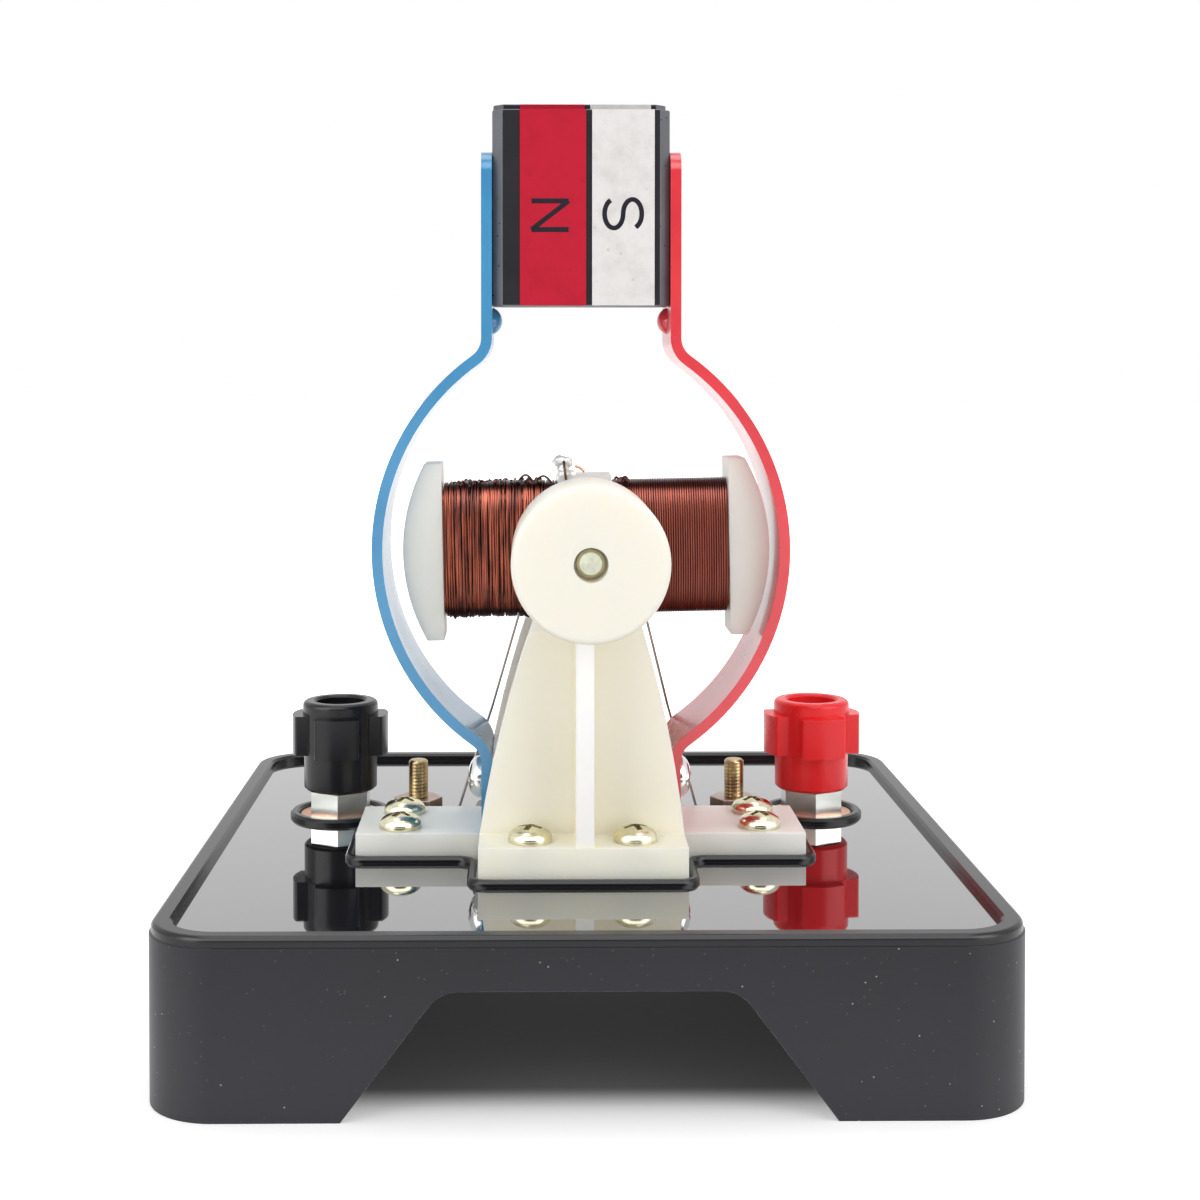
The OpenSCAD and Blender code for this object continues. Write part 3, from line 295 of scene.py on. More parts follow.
def black_styrene(seam_z, panel_z, arch_half):
    """Satin below the seam, smoother on rim and beads above it, and a mirror on the level panel."""
    polished_black = (0.008, 0.008, 0.01, 1)
    satin_black = (0.004, 0.004, 0.006, 1)
    cloudy_black = (0.012, 0.012, 0.017, 1)
    # Painted light: the next colour is a painted reflection of the white floor, low on the sides.
    painted_floor_reflection = (0.045, 0.046, 0.053, 1)
    # Painted highlight: the next colour is a light line painted along the arches' rounded edges.
    painted_edge_highlight = (0.8, 0.8, 0.82, 1)
    fine_dust = (0.035, 0.035, 0.037, 1)
    coarse_dust = (0.3, 0.3, 0.3, 1)
    edge_highlight_up_to_z = seam_z - 5 * MM
    half_turned = 0.55
    turn_spread = 0.4
    rim_roughness = 0.24
    mirror_roughness = 0.03

    material, tree, shader = finish("black_styrene", IOR=1.4, Coat_Roughness=0.02, Coat_IOR=2.2)
    place = node(tree, "TexCoord").outputs["Object"]
    across = node(tree, "SeparateXYZ", {0: place})
    height = across.outputs["Z"]
    facing = node(tree, "NewGeometry").outputs["Normal"]
    way = node(tree, "SeparateXYZ", {0: facing})
    above = node(tree, "MapRange", {"Value": height, "From Min": seam_z,
                                    "From Max": seam_z + 0.1 * MM}).outputs[0]

    cloud = node(tree, "TexNoise", {"Vector": place, "Scale": 25.0, "Detail": 7.0, "Roughness": 0.65})
    side = mix_colour(tree, cloud.outputs["Fac"], satin_black, cloudy_black)
    # Painted reflection: the sides' black is painted lighter towards the foot, for the floor they
    # reflect.
    low_down = node(tree, "MapRange", {"Value": height, "From Min": 0.0, "From Max": seam_z,
                                       "To Min": 0.35, "To Max": 0.0})
    side = mix_colour(tree, low_down.outputs[0], side, painted_floor_reflection)
    # Painted highlight: where the arch's edge turns from front to side, a light line is painted.
    turning = math_node(tree, "COMPARE", math_node(tree, "ABSOLUTE", way.outputs["Y"]), half_turned,
                        turn_spread)
    in_arch = math_node(tree, "LESS_THAN", math_node(tree, "ABSOLUTE", across.outputs["X"]), arch_half)
    in_arch = math_node(tree, "MULTIPLY", in_arch, math_node(tree, "LESS_THAN", height, edge_highlight_up_to_z))
    side = mix_colour(tree, math_node(tree, "MULTIPLY", turning, in_arch), side, painted_edge_highlight)
    fine = group_node(tree, specks, {"Scale": 1100.0, "Size": 0.2, "Share": 0.12})
    side = mix_colour(tree, fine.outputs["Mask"], side, fine_dust)
    coarse = group_node(tree, specks, {"Scale": 420.0, "Size": 0.055, "Share": 0.7})
    side = mix_colour(tree, coarse.outputs["Mask"], side, coarse_dust)
    colour = mix_colour(tree, above, side, polished_black)
    tree.links.new(colour, shader.inputs["Base Color"])

    level = math_node(tree, "GREATER_THAN", way.outputs["Z"], 0.98)
    on_panel = math_node(tree, "LESS_THAN", height, panel_z + 0.1 * MM)
    mirror = math_node(tree, "MULTIPLY", math_node(tree, "MULTIPLY", level, on_panel), above)
    skin = skin_node(tree, grain=2600.0, height=0.35, gloss_low=0.42, gloss_high=0.5)
    gloss = node(tree, "Mix", {0: above, 2: skin.outputs["Roughness"], 3: rim_roughness})
    gloss = node(tree, "Mix", {0: mirror, 2: gloss.outputs[0], 3: mirror_roughness})
    tree.links.new(gloss.outputs[0], shader.inputs["Roughness"])
    tree.links.new(mirror, shader.inputs["Coat Weight"])
    normal = node(tree, "Mix", {0: above, 4: skin.outputs["Normal"], 5: facing}, data_type="VECTOR")
    tree.links.new(normal.outputs[1], shader.inputs["Normal"])
    return material


def piece_from(name, work):
    """Makes a finished bmesh an object, smooth but for its sharpest edges."""
    mesh = bpy.data.meshes.new(name)
    work.to_mesh(mesh)
    work.free()
    mesh.shade_smooth()
    mesh.set_sharp_from_angle(angle=radians(40))
    made = bpy.data.objects.new(name, mesh)
    scene.collection.objects.link(made)
    evened = made.modifiers.new("even_shading", "WEIGHTED_NORMAL")
    evened.keep_sharp = True
    return made


def rounded_copy(name, node_name, radius, segments=2, sharper_than=30):
    """A CAD node's copy with its corners rounded, as moulding, turning or paint leaves them."""
    work = bmesh.new()
    work.from_mesh(frame["nodes"][node_name].data)
    bmesh.ops.remove_doubles(work, verts=work.verts, dist=0.002 * MM)
    bmesh.ops.dissolve_limit(work, angle_limit=radians(0.6), verts=work.verts, edges=work.edges)
    corners = [edge for edge in work.edges
               if edge.is_manifold and edge.calc_face_angle() > radians(sharper_than)]
    bmesh.ops.bevel(work, geom=corners, offset=radius, offset_type="OFFSET", affect="EDGES",
                    segments=segments, profile=0.5, material=-1, clamp_overlap=True)
    return piece_from(name, work)


base_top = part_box("base_shell")[1].z
base = rounded_copy("moulded_base", "base_shell", 0.25 * MM, segments=3, sharper_than=20)
base.data.materials.append(black_styrene(seam_z=base_top - 1.9 * MM, panel_z=base_top - 1.5 * MM,
                                         arch_half=50 * MM))
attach(base, "base")
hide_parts("base_shell")


# ---------------------------------------------------------------- bearing stands
# Two mouldings in natural nylon, ivory and slightly waxy, which lets some light into their
# thin ribs. The rear one is the front one's mirror image with a narrower boss, its nylon
# painted paler as painted light where it sits in shade between the stands. Both carry painted
# light on rib, foot and boss rim, and painted shade on the boss's face.
def natural_nylon(name, pale, warm, glow, paint_light=None):
    """Nylon that clouds from a pale tint to a warm one, with painted light and shade added where given.
    """
    material, tree, shader = finish(name, Subsurface_Weight=0.6, Subsurface_Scale=6 * MM, IOR=1.5,
                                    Subsurface_Radius=glow)
    place = node(tree, "TexCoord").outputs["Object"]
    flow = node(tree, "TexNoise", {"Vector": place, "Scale": 28.0, "Detail": 4.0, "Distortion": 0.6})
    tint = node(tree, "MapRange", {"Value": flow.outputs["Fac"], "From Min": 0.3, "From Max": 0.7})
    nylon = mix_colour(tree, tint.outputs[0], pale, warm)
    if paint_light:
        nylon = paint_light(tree, place, nylon)
    tree.links.new(nylon, shader.inputs["Base Color"])
    put_skin(tree, shader, grain=700.0, height=0.25, gloss_low=0.32, gloss_high=0.45)
    return material


rib_middle_x = 0.3 * MM
rib_half = 1.6 * MM
foot_top_z = 34.9 * MM
boss_foot_z = 72 * MM
rim_pales_from_z = boss_foot_z + 16 * MM
rim_palest_z = boss_foot_z + 21 * MM


def stand_painted_light(tree, place, nylon):
    """Painted light paler on the rib, the foot and the upper rim of the boss, and painted shade darker
    on the boss's face.
    """
    rib_painted_glow_ivory = (1.0, 0.98, 0.93, 1)
    painted_highlight_ivory = (1.0, 0.95, 0.79, 1)
    boss_painted_shade_ivory = (0.84, 0.81, 0.72, 1)
    across = node(tree, "SeparateXYZ", {0: place})
    height = across.outputs["Z"]
    aside = math_node(tree, "ABSOLUTE", math_node(tree, "SUBTRACT", across.outputs["X"], rib_middle_x))
    between = band(tree, height, foot_top_z, boss_foot_z, 0.2 * MM)
    on_rib = math_node(tree, "MULTIPLY", math_node(tree, "LESS_THAN", aside, rib_half), between)
    # Painted glow: the rib is painted paler, as if it caught more light.
    nylon = mix_colour(tree, on_rib, nylon, rib_painted_glow_ivory)

    facing = node(tree, "SeparateXYZ", {0: node(tree, "NewGeometry").outputs["Normal"]})
    edge_on = math_node(tree, "LESS_THAN", math_node(tree, "ABSOLUTE", facing.outputs["Y"]), 0.7)
    boss_top = node(tree, "MapRange", {"Value": height, "From Min": rim_pales_from_z,
                                       "From Max": rim_palest_z}).outputs[0]
    on_foot = math_node(tree, "LESS_THAN", height, foot_top_z)
    painted_lit_ends = math_node(tree, "MAXIMUM", on_foot, math_node(tree, "MULTIPLY", edge_on, boss_top))
    # Painted highlight: the foot and the boss's upper rim are painted paler.
    nylon = mix_colour(tree, painted_lit_ends, nylon, painted_highlight_ivory)

    # Painted shade: the boss's face is painted darker.
    on_boss = math_node(tree, "GREATER_THAN", height, boss_foot_z)
    boss_face = math_node(tree, "MULTIPLY", on_boss, math_node(tree, "SUBTRACT", 1.0, edge_on))
    return mix_colour(tree, boss_face, nylon, boss_painted_shade_ivory)


# The rear stand's nylon is painted paler: painted light for the shade it stands in between the stands.
stand_nylons_rear_painted_pale = {"front": ((0.91, 0.87, 0.75, 1), (0.89, 0.835, 0.7, 1)),
                "rear": ((1.0, 0.97, 0.88, 1), (0.99, 0.955, 0.85, 1))}
for end, (pale, warm) in stand_nylons_rear_painted_pale.items():
    stand = rounded_copy(end + "_bearing_stand", end + "_stand", 0.3 * MM, segments=3)
    stand.data.materials.append(natural_nylon(end + "_ivory_nylon", pale, warm,
                                              glow=(1.0, 0.85, 0.6), paint_light=stand_painted_light))
    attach(stand, "base")
    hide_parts(end + "_stand")


# ---------------------------------------------------------------- strip brackets
# Small mouldings in white nylon, screwed to the base on either side. Each is a plate with an
# upstand behind its strip's lower leg.
white_nylon = natural_nylon("white_nylon", (0.84, 0.84, 0.79, 1), (0.8, 0.79, 0.73, 1),
                            glow=(1.0, 0.95, 0.85))
for side in ("left", "right"):
    bracket = rounded_copy(side + "_strip_bracket", "bracket_" + side, 0.35 * MM, segments=3)
    bracket.data.materials.append(white_nylon)
    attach(bracket, "base")
    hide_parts("bracket_" + side)


# ---------------------------------------------------------------- pole strips
# Soft iron bar, sheared, bent round the armature and dipped in gloss enamel, which rounds
# its edges. A pressed dimple in each carries the magnet.
def gloss_enamel(name, colour, shade):
    material, tree, shader = finish(name, IOR=1.5, Coat_Weight=0.5, Coat_Roughness=0.1)
    place = node(tree, "TexCoord").outputs["Object"]
    run = node(tree, "TexNoise", {"Vector": place, "Scale": 60.0, "Detail": 3.0})
    tint = node(tree, "MapRange", {"Value": run.outputs["Fac"], "From Min": 0.35, "From Max": 0.65})
    tree.links.new(mix_colour(tree, tint.outputs[0], colour, shade), shader.inputs["Base Color"])
    put_skin(tree, shader, grain=420.0, height=0.5, gloss_low=0.2, gloss_high=0.3)
    return material


enamels = {
    "blue": gloss_enamel("blue_enamel", (0.06, 0.29, 0.54, 1), (0.045, 0.25, 0.49, 1)),
    "red": gloss_enamel("red_enamel", (0.78, 0.045, 0.06, 1), (0.7, 0.03, 0.045, 1)),
}
for paint, enamel in enamels.items():
    strip = rounded_copy(paint + "_strip", "pole_strip_" + paint, 0.5 * MM, segments=3)
    strip.data.materials.append(enamel)
    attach(strip, "base")
    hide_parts("pole_strip_" + paint)


# ---------------------------------------------------------------- magnet
# Two pressed ferrite blocks, one behind the other, which hold themselves between the strips.
# Their front and back are ground dark, and the sides and chamfered edges stay rough and are painted
# paler, partly as a painted reflection of the light they catch at a glancing view.
def ground_ferrite():
    ground_dark = (0.004, 0.004, 0.007, 1)
    ground_cloud = (0.016, 0.016, 0.021, 1)
    # Rough pressed sides, painted paler also as a painted reflection of the light they catch.
    rough_sheen_dark = (0.09, 0.093, 0.105, 1)
    rough_sheen_cloud = (0.18, 0.185, 0.2, 1)
    pit_black = (0.008, 0.008, 0.009, 1)
    material, tree, shader = finish("ferrite", IOR=1.3)
    place = node(tree, "TexCoord").outputs["Object"]
    cloud = node(tree, "TexNoise", {"Vector": place, "Scale": 120.0, "Detail": 6.0}).outputs["Fac"]
    way = node(tree, "SeparateXYZ", {0: node(tree, "NewGeometry").outputs["Normal"]})
    off_face = math_node(tree, "LESS_THAN", math_node(tree, "ABSOLUTE", way.outputs["Y"]), 0.94)
    stone = mix_colour(tree, off_face, mix_colour(tree, cloud, ground_dark, ground_cloud),
                       mix_colour(tree, cloud, rough_sheen_dark, rough_sheen_cloud))
    pits = group_node(tree, specks, {"Scale": 900.0, "Size": 0.16, "Share": 0.3})
    pitted = mix_colour(tree, pits.outputs["Mask"], stone, pit_black)
    tree.links.new(pitted, shader.inputs["Base Color"])
    put_skin(tree, shader, grain=1500.0, height=0.8, gloss_low=0.4, gloss_high=0.55)
    return material


ferrite = ground_ferrite()
for place in ("front", "rear"):
    block = rounded_copy(place + "_magnet_block", "magnet_" + place, 0.25 * MM, segments=2)
    block.data.materials.append(ferrite)
    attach(block, "magnet")
    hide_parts("magnet_" + place)


# ---------------------------------------------------------------- pole labels
# Printed paper stuck on the blocks' faces, red over one pole and white over the other, a
# little rubbed and stained. It reaches slightly nearer the blocks' edges than its solid.
def printed_paper(name, clean, stained):
    material, tree, shader = finish(name, Roughness=0.62, IOR=1.3)
    place = node(tree, "TexCoord").outputs["Object"]
    blotch = node(tree, "TexNoise", {"Vector": place, "Scale": 260.0, "Detail": 8.0, "Roughness": 0.75})
    tint = node(tree, "MapRange", {"Value": blotch.outputs["Fac"], "From Min": 0.45, "From Max": 0.75})
    spots = group_node(tree, specks, {"Scale": 420.0, "Size": 0.14, "Share": 0.12})
    paper = mix_colour(tree, tint.outputs[0], clean, stained)
    spotted = mix_colour(tree, spots.outputs["Mask"], paper, stained)
    tree.links.new(spotted, shader.inputs["Base Color"])
    fibre = node(tree, "TexNoise", {"Vector": place, "Scale": 2400.0, "Detail": 2.0})
    bump = node(tree, "Bump", {"Height": fibre.outputs["Fac"], "Strength": 0.3, "Distance": 0.02 * MM})
    tree.links.new(bump.outputs["Normal"], shader.inputs["Normal"])
    return material


papers = {
    "red": printed_paper("red_paper", (0.48, 0.006, 0.027, 1), (0.39, 0.005, 0.02, 1)),
    "white": printed_paper("white_paper", (0.71, 0.69, 0.68, 1), (0.58, 0.56, 0.54, 1)),
}
front_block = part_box("magnet_front")
rear_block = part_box("magnet_rear")
front_block_end_y = front_block[1].y - 1 * MM
label_growth = 1.014
for pole, paper in papers.items():
    label = rounded_copy(pole + "_pole_label", "label_" + pole, 0.06 * MM)
    for vertex in label.data.vertices:
        block = front_block if vertex.co.y < front_block_end_y else rear_block
        middle = (block[0].z + block[1].z) / 2
        vertex.co.z = middle + (vertex.co.z - middle) * label_growth
    label.data.materials.append(paper)
    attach(label, "magnet")
    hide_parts("label_" + pole)


# ---------------------------------------------------------------- pole marks
# The two poles' letters, printed in black ink on the front labels. They are drawn in plain
# strokes that end round, and lie on their sides.
def wire_mesh(name, runs, radius, resolution=2):
    """Round strands along the given runs of points, as one mesh."""
    curve = bpy.data.curves.new(name, "CURVE")
    curve.dimensions = "3D"
    curve.bevel_depth = radius
    curve.bevel_resolution = resolution
    curve.use_fill_caps = True
    for run in runs:
        spline = curve.splines.new("POLY")
        spline.points.add(len(run) - 1)
        for point, where in zip(spline.points, run):
            point.co = (*where, 1)
    carrier = bpy.data.objects.new(name, curve)
    scene.collection.objects.link(carrier)
    strands = carrier.evaluated_get(bpy.context.evaluated_depsgraph_get())
    mesh = bpy.data.meshes.new_from_object(strands)
    bpy.data.objects.remove(carrier)
    mesh.name = name
    mesh.shade_smooth()
    return mesh


def place_strands(name, mesh):
    made = bpy.data.objects.new(name, mesh)
    scene.collection.objects.link(made)
    return made


def bowl(centre_y, half_w, half_h, first, last, steps=20):
    """A letter's round stroke, from its first angle to its last."""
    angles = [radians(first + (last - first) * i / steps) for i in range(steps + 1)]
    return [(half_w * cos(a), centre_y + half_h * sin(a)) for a in angles]


def label_ink():
    material, tree, shader = finish("label_ink", Roughness=0.6, IOR=1.25)
    wear = node(tree, "TexNoise", {"Vector": node(tree, "TexCoord").outputs["Object"], "Scale": 900.0})
    colour = mix_colour(tree, wear.outputs["Fac"], (0.006, 0.005, 0.01, 1), (0.016, 0.014, 0.022, 1))
    tree.links.new(colour, shader.inputs["Base Color"])
    return material


letter_h = 6.9
letter_w = 5.3
stroke_r = 0.47 * MM
ink_flatness = 0.06
corner_x = letter_w / 2
corner_y = letter_h / 2
left_stem = [(-corner_x, -corner_y), (-corner_x, corner_y)]
right_stem = [(corner_x, -corner_y), (corner_x, corner_y)]
slant = [(-corner_x, corner_y), (corner_x, -corner_y)]
upper_bowl = bowl(corner_y / 2, corner_x, corner_y / 2, first=20, last=270)
lower_bowl = bowl(-corner_y / 2, corner_x, corner_y / 2, first=90, last=-160)
letters = {"red": [left_stem, right_stem, slant], "white": [upper_bowl + lower_bowl[1:]]}
letter_middles = {"red": (-5.8, 148.45), "white": (7.75, 148.73)}
label_face_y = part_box("label_red")[0].y
ink = label_ink()
for pole, strokes in letters.items():
    upright = [[(x * MM, 0, y * MM) for x, y in stroke] for stroke in strokes]
    mark = wire_mesh(pole + "_pole_mark", upright, stroke_r, resolution=3)
    lying = Matrix.Rotation(radians(90), 4, "Y")
    flat = Matrix.Diagonal((1, ink_flatness, 1, 1))
    middle_x, middle_z = letter_middles[pole]
    mark.transform(Matrix.Translation((middle_x * MM, label_face_y, middle_z * MM)) @ flat @ lying)
    mark.materials.append(ink)
    mark_piece = place_strands(pole + "_pole_mark", mark)
    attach(mark_piece, "magnet")


# ---------------------------------------------------------------- armature bobbin
# White nylon hub, arms and pole shoes in one moulding, over a soft iron core bar that runs
# from one pole face to the other. The shaft goes through the hub.
bobbin = rounded_copy("bobbin", "armature_bobbin", 0.55 * MM, segments=3)
bobbin.data.materials.append(white_nylon)
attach(bobbin, "armature")
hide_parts("armature_bobbin")


# ---------------------------------------------------------------- coils
# Enamelled copper wire of 0.45 mm, wound by hand in many layers on each arm. The right
# coil lies neatly side by side, and the left one's last layer wanders over the rest.
armature_middle = Vector((1.1 * MM, -9.2 * MM, 85.9 * MM))
armature_turn = Matrix.Rotation(radians(-1.1), 4, "Y")
on_armature = Matrix.Translation(armature_middle) @ armature_turn
wire_r = 0.225
hub_face = 5 + wire_r
shoe_face = 27.1 - wire_r
coil_half_y = 5.5
coil_half_z = 12.85


def enamelled_wire(name, dull, bright, patchy):
    """Copper under brown enamel, with painted shade darkening the top and foot of the coil."""
    # Painted shade: the coil's top and foot are darkened in colour, where the turns curve away.
    painted_shade_from = coil_half_z - 1.9
    painted_shade_full = coil_half_z - 1.1
    painted_shade_brown = (0.03, 0.008, 0.007, 1)
    material, tree, shader = finish(name, Metallic=0.85, Coat_Roughness=0.15, Coat_Weight=0.3)
    place = node(tree, "TexCoord").outputs["Object"]
    strands = node(tree, "Mapping", {"Vector": place, "Scale": (1900, 60, 60)})
    streak = node(tree, "TexNoise", {"Vector": strands.outputs[0], "Scale": 1.0, "Detail": 2.0})
    long_patches = node(tree, "Mapping", {"Vector": place, "Scale": (420, 150, 150)})
    patch = node(tree, "TexNoise", {"Vector": long_patches.outputs[0], "Scale": 1.0, "Detail": 3.0})
    mottle = node(tree, "Mix", {0: patchy, 2: streak.outputs["Fac"], 3: patch.outputs["Fac"]})
    tint = node(tree, "MapRange", {"Value": mottle.outputs[0], "From Min": 0.36, "From Max": 0.64})
    copper = mix_colour(tree, tint.outputs[0], dull, bright)
    across = node(tree, "SeparateXYZ", {0: place})
    height = math_node(tree, "SUBTRACT", across.outputs["Z"], armature_middle.z)
    # Painted shade, growing towards the coil's top and foot.
    top_and_foot_shade = node(tree, "MapRange", {"Value": math_node(tree, "ABSOLUTE", height),
                                      "From Min": painted_shade_from * MM, "From Max": painted_shade_full * MM,
                                      "To Min": 0.0, "To Max": 0.8})
    copper = mix_colour(tree, top_and_foot_shade.outputs[0], copper, painted_shade_brown)
    tree.links.new(copper, shader.inputs["Base Color"])
    gloss = node(tree, "MapRange", {"Value": streak.outputs["Fac"], "To Min": 0.4, "To Max": 0.28})
    tree.links.new(gloss.outputs[0], shader.inputs["Roughness"])
    return material


def ring_points(half_y, half_z, power=3.2, steps=44):
    """Stations round the coil's bulging section, with the outward direction at each."""
    stations = []
    for step in range(steps):
        a = 2 * pi * (step + 0.5) / steps
        y = copysign(half_y * abs(cos(a)) ** (2 / power), cos(a))
        z = copysign(half_z * abs(sin(a)) ** (2 / power), sin(a))
        out = Vector((copysign((abs(y) / half_y) ** (power - 1) / half_y, y),
                      copysign((abs(z) / half_z) ** (power - 1) / half_z, z))).normalized()
        stations.append((y, z, out.x, out.y))
    return stations


def wound_layer(from_x, to_x, turns, depth, wander, lift, dice):
    """A layer of wire at a depth under the coil's face, which wanders along and off the coil."""
    inset = wire_r + depth
    stations = ring_points(coil_half_y - inset, coil_half_z - inset)
    along = [dice.uniform(-wander, wander) for _ in range(turns + 2)]
    off = [dice.uniform(0, lift) for _ in range(turns + 2)]
    run = []
    for turn in range(turns):
        for i, (y, z, out_y, out_z) in enumerate(stations):
            part = i / len(stations)
            x = from_x + (to_x - from_x) * (turn + part) / turns
            x += along[turn] * (1 - part) + along[turn + 1] * part
            x = min(max(x, min(from_x, to_x)), max(from_x, to_x))
            raised = off[turn] * (1 - part) + off[turn + 1] * part
            run.append((x * MM, (y + out_y * raised) * MM, (z + out_z * raised) * MM))
    return run


def slack_loop(x, reach, rise, from_y, way):
    """A turn that stands off the coil's top (way 1) or foot (way -1): its end points and arc."""
    steps = 8
    buried = 0.4
    drift = 1.2
    run = []
    for step in range(steps + 1):
        part = step / steps
        z = coil_half_z - buried + rise * sin(pi * part)
        run.append(((x + reach * part) * MM, (from_y + drift * part) * MM, way * z * MM))
    return run


def hidden_layer(dice):
    return wound_layer(hub_face, shoe_face, turns=46, depth=0.45, wander=0.08, lift=0.02, dice=dice)


def neat_coil(dice):
    """A hidden layer, a last one laid side by side, and a few turns that cross over its top."""
    runs = [hidden_layer(dice),
            wound_layer(shoe_face, hub_face, turns=48, depth=0, wander=0.02, lift=0.02, dice=dice)]
    for _ in range(8):
        runs.append(slack_loop(x=dice.uniform(5.6, 9), reach=dice.uniform(0.8, 2.2),
                               rise=dice.uniform(0.5, 1.0), from_y=dice.uniform(-4, 2), way=1))
    return runs


def untidy_coil(dice):
    """A hidden layer, looser ones that wander over each other, and slack loops at top and foot."""
    runs = [hidden_layer(dice),
            wound_layer(shoe_face, hub_face, turns=43, depth=0, wander=0.3, lift=0.2, dice=dice)]
    for first, last, turns in ((6, 26, 17), (25, 8, 12), (9, 24, 8)):
        runs.append(wound_layer(first, last, turns, depth=-0.1, wander=0.9, lift=0.3, dice=dice))
    for way, loops, most in ((1, 50, 0.75), (-1, 26, 0.45)):
        for _ in range(loops):
            runs.append(slack_loop(x=dice.uniform(6, 25), reach=dice.uniform(-1.3, 1.3),
                                   rise=dice.uniform(0.25, most), from_y=dice.uniform(-4.5, 3),
                                   way=way))
    runs.append(slack_loop(x=6.2, reach=3.3, rise=1.4, from_y=-3, way=1))
    runs.append(slack_loop(x=9.6, reach=3.2, rise=1.6, from_y=-2, way=1))
    return runs


coil_runs = {"left": untidy_coil(random.Random(11)), "right": neat_coil(random.Random(5))}
coil_coppers = {
    "left": enamelled_wire("hand_wound_copper", (0.06, 0.012, 0.009, 1), (0.4, 0.1, 0.055, 1),
                           patchy=0.65),
    "right": enamelled_wire("neat_wound_copper", (0.17, 0.036, 0.024, 1), (0.26, 0.062, 0.038, 1),
                            patchy=0.1),
}
for side, coil_copper in coil_coppers.items():
    wire = wire_mesh(side + "_coil_wire", coil_runs[side], wire_r * MM, resolution=1)
    if side == "left":
        wire.transform(Matrix.Diagonal((-1, 1, 1, 1)))
        wire.flip_normals()
    wire.transform(on_armature)
    wire.materials.append(coil_copper)
    wire_piece = place_strands(side + "_coil_wire", wire)
    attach(wire_piece, "armature")
    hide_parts("winding_" + side)
    frame["nodes"]["coil_" + side].data.materials.clear()
    frame["nodes"]["coil_" + side].data.materials.append(coil_copper)


# ---------------------------------------------------------------- metals
# Core bar, shaft and collar, commutator, brushes, links and bushes keep the shape of their
# solids. Each has its own plating or bare finish, with a fine grain and cloudy reflections,
# but for the commutator's sleeve, which is white nylon.
def plated(name, colour, second, gloss, cloud_scale=220.0):
    material, tree, shader = finish(name, Metallic=1.0)
    place = node(tree, "TexCoord").outputs["Object"]
    cloud = node(tree, "TexNoise", {"Vector": place, "Scale": cloud_scale, "Detail": 4.0})
    tint = node(tree, "MapRange", {"Value": cloud.outputs["Fac"], "From Min": 0.35, "From Max": 0.65})
    tree.links.new(mix_colour(tree, tint.outputs[0], colour, second), shader.inputs["Base Color"])
    put_skin(tree, shader, grain=1800.0, height=0.3, gloss_low=gloss, gloss_high=gloss + 0.12)
    return material


metals = {
    "zinc_yellow": plated("yellow_zinc", (0.8, 0.78, 0.56, 1), (0.6, 0.54, 0.4, 1), 0.16, 420.0),
    "nickel": plated("nickel_plate", (0.8, 0.8, 0.79, 1), (0.7, 0.71, 0.71, 1), 0.12),
    "satin_nickel": plated("satin_nickel", (0.86, 0.88, 0.84, 1), (0.78, 0.8, 0.76, 1), 0.26),
    "dull_copper": plated("dull_copper", (0.46, 0.34, 0.29, 1), (0.34, 0.25, 0.21, 1), 0.3, 420.0),
    "bright_steel": plated("ground_steel", (0.76, 0.77, 0.62, 1), (0.58, 0.59, 0.47, 1), 0.28, 600.0),
    "soft_iron": plated("soft_iron", (0.45, 0.45, 0.46, 1), (0.33, 0.32, 0.31, 1), 0.4),
    "brass": plated("turned_brass", (0.72, 0.53, 0.24, 1), (0.62, 0.43, 0.18, 1), 0.2),
    "copper": plated("bare_copper", (0.72, 0.39, 0.25, 1), (0.6, 0.28, 0.17, 1), 0.25),
    "bronze": plated("tarnished_bronze", (0.36, 0.31, 0.28, 1), (0.26, 0.23, 0.22, 1), 0.3),
    "aged_brass": plated("aged_brass", (0.5, 0.4, 0.2, 1), (0.34, 0.22, 0.13, 1), 0.24, 380.0),
}
record_slots = {row["node"]: row["material_slot"] for row in frame["record"]["subparts"]}
for name in ("armature_core", "shaft", "commutator_segment_a", "commutator_segment_b", "brush_left",
             "brush_right", "link_strips", "knob_bush_black", "knob_bush_red", "shaft_collar"):
    metal = metals["bronze" if name.startswith("brush") else record_slots[name]]
    mesh = frame["nodes"][name].data
    mesh.materials.clear()
    mesh.materials.append(metal)
sleeve = frame["nodes"]["commutator_sleeve"].data
sleeve.materials.clear()
sleeve.materials.append(white_nylon)


# ---------------------------------------------------------------- coil ends
# The two coils are joined over the hub: a dark lead comes up in front of it to a twist of
# tinned ends under lumps of solder, and one bare copper end sticks out.
lead_run = [(-3.9, -4.5, 16.7), (-3.84, -6.1, 15.6), (-3.65, -6.35, 14), (-3.45, -6.35, 11.8)]
bare_run = [(-1.75, -2, 15.6), (-0.8, -2.2, 15.25), (0.05, -2.2, 14.5)]
for name, run, radius, material in (("lead", lead_run, 0.25, coil_coppers["left"]),
                                    ("bare_end", bare_run, 0.26, metals["copper"])):
    run_in_metres = [tuple(value * MM for value in point) for point in run]
    lead = wire_mesh("coil_" + name, [run_in_metres], radius * MM)
    lead.transform(on_armature)
    lead.materials.append(material)
    lead_piece = place_strands("coil_" + name, lead)
    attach(lead_piece, "armature")


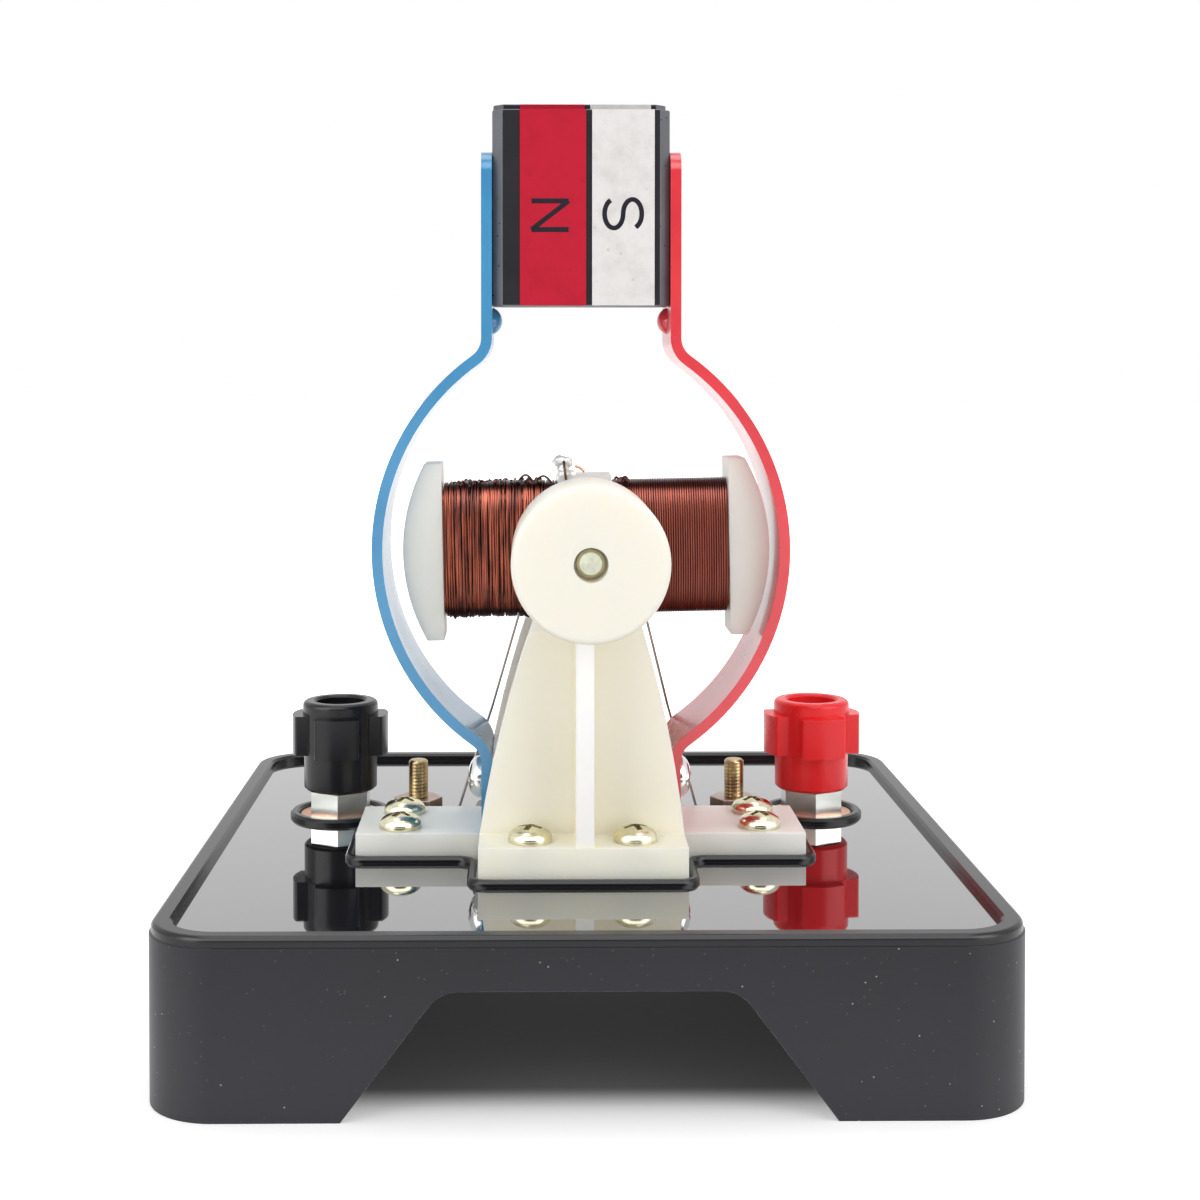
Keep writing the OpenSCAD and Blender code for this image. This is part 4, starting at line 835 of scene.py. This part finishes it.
def tinned_solder():
    dull_tin = (0.5, 0.51, 0.48, 1)
    bright_tin = (0.97, 0.97, 0.95, 1)
    material, tree, shader = finish("tinned_ends", Metallic=0.25)
    cloud = node(tree, "TexNoise", {"Vector": node(tree, "TexCoord").outputs["Object"],
                                    "Scale": 1500.0}).outputs["Fac"]
    tree.links.new(mix_colour(tree, cloud, dull_tin, bright_tin), shader.inputs["Base Color"])
    gloss = node(tree, "MapRange", {"Value": cloud, "To Min": 0.5, "To Max": 0.3})
    tree.links.new(gloss.outputs[0], shader.inputs["Roughness"])
    return material


lumps = [((-4.3, -4, 13.8), (1.25, 0.9, 1.3)), ((-2.7, -4, 13.9), (1.35, 0.9, 1.1)),
         ((-4.7, -4, 16.7), (1.3, 0.9, 1.1)), ((-3.4, -4, 16.4), (1.2, 0.9, 1.1)),
         ((-4.1, -4, 15.3), (1.0, 0.8, 1.0))]
unevenness = 0.35
ripple_width = 0.6
solder = bmesh.new()
for middle, half_size in lumps:
    place = Matrix.Translation(Vector(middle) * MM) @ Matrix.Diagonal((*half_size, 1))
    bmesh.ops.create_icosphere(solder, subdivisions=3, radius=MM, matrix=place)
solder.normal_update()
for vertex in solder.verts:
    ripple = noise.noise(vertex.co / (ripple_width * MM))
    vertex.co += vertex.normal * unevenness * MM * ripple
bmesh.ops.recalc_face_normals(solder, faces=solder.faces)
solder_piece = piece_from("solder_joint", solder)
solder_piece.data.transform(on_armature)
solder_piece.data.materials.append(tinned_solder())
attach(solder_piece, "armature")


# ---------------------------------------------------------------- screws, nuts and posts
# M4 pan heads and hexagon nuts in yellow zinc and nickel, dull copper nuts on the two brush
# studs, whose thread shows above them, and the binding posts' turned studs in satin nickel.
corner_radii = {"stand_screws": 0.12, "bracket_screws": 0.12, "pole_screws": 0.12,
                "brush_nuts": 0.15, "pole_nuts": 0.15, "under_nuts": 0.15, "post_under_nuts": 0.15,
                "post_stud_black": 0.2, "post_stud_red": 0.2, "post_washers": 0.1}
own_looks = {"brush_nuts": "dull_copper", "post_stud_black": "satin_nickel",
             "post_stud_red": "satin_nickel"}
for name, corner_r in corner_radii.items():
    fastener = rounded_copy("finished_" + name, name, corner_r * MM)
    fastener.data.materials.append(metals[own_looks.get(name, record_slots[name])])
    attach(fastener, "base")
    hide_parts(name)


def threaded_stud(name, node_name, thread_from, shank_r, core_r, major_r, pitch, chamfer):
    """An upright stud with a helical thread along its upper part, and plain below."""
    low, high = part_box(node_name)
    axis_x = (low.x + high.x) / 2
    axis_y = (low.y + high.y) / 2
    sides = 24
    rows_per_turn = 8
    rows = int((high.z - thread_from) / pitch * rows_per_turn)
    heights = [low.z, thread_from]
    heights += [thread_from + (high.z - thread_from) * (row + 1) / rows for row in range(rows)]
    work = bmesh.new()
    rings = []
    for z in heights:
        ring = []
        for side in range(sides):
            a = 2 * pi * side / sides
            turn = ((z - thread_from) / pitch - side / sides) % 1
            crest = 1 - abs(2 * turn - 1)
            r = shank_r if z <= thread_from else core_r + (major_r - core_r) * crest
            if z > high.z - chamfer:
                r = min(r, major_r - chamfer + (high.z - z))
            ring.append(work.verts.new((axis_x + r * cos(a), axis_y + r * sin(a), z)))
        rings.append(ring)
    for below, above in zip(rings, rings[1:]):
        for side in range(sides):
            after = (side + 1) % sides
            work.faces.new((below[side], below[after], above[after], above[side]))
    work.faces.new(rings[-1])
    work.faces.new(list(reversed(rings[0])))
    bmesh.ops.recalc_face_normals(work, faces=work.faces)
    return piece_from(name, work)


nut_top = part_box("brush_nuts")[1].z
for side in ("left", "right"):
    stud = threaded_stud(side + "_threaded_stud", "brush_stud_" + side, thread_from=nut_top,
                         shank_r=1.7 * MM, core_r=1.95 * MM, major_r=2.0 * MM, pitch=0.7 * MM,
                         chamfer=0.4 * MM)
    stud.data.materials.append(metals["aged_brass"])
    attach(stud, "base")
    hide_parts("brush_stud_" + side)


# ---------------------------------------------------------------- knobs
# Gloss mouldings in black and red, each with four wide grips, round a threaded brass bush.
# Each screws down its post by hand, onto the bare end of a wire.
def gloss_moulding(name, colour, shade, glow):
    material, tree, shader = finish(name, IOR=1.38, Subsurface_Weight=glow, Subsurface_Scale=1.5 * MM)
    place = node(tree, "TexCoord").outputs["Object"]
    flow = node(tree, "TexNoise", {"Vector": place, "Scale": 90.0, "Detail": 3.0})
    tree.links.new(mix_colour(tree, flow.outputs["Fac"], colour, shade), shader.inputs["Base Color"])
    put_skin(tree, shader, grain=500.0, height=0.3, gloss_low=0.2, gloss_high=0.3)
    return material


knob_plastics = {
    "black": gloss_moulding("black_knob_plastic", (0.007, 0.007, 0.009, 1), (0.012, 0.012, 0.014, 1),
                            glow=0.0),
    "red": gloss_moulding("red_knob_plastic", (0.86, 0.02, 0.025, 1), (0.76, 0.015, 0.02, 1),
                          glow=0.1),
}
for colour, plastic in knob_plastics.items():
    knob = rounded_copy(colour + "_terminal_knob", "knob_" + colour, 0.3 * MM, segments=3)
    knob.data.materials.append(plastic)
    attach(knob, "knob_" + colour)
    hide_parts("knob_" + colour)
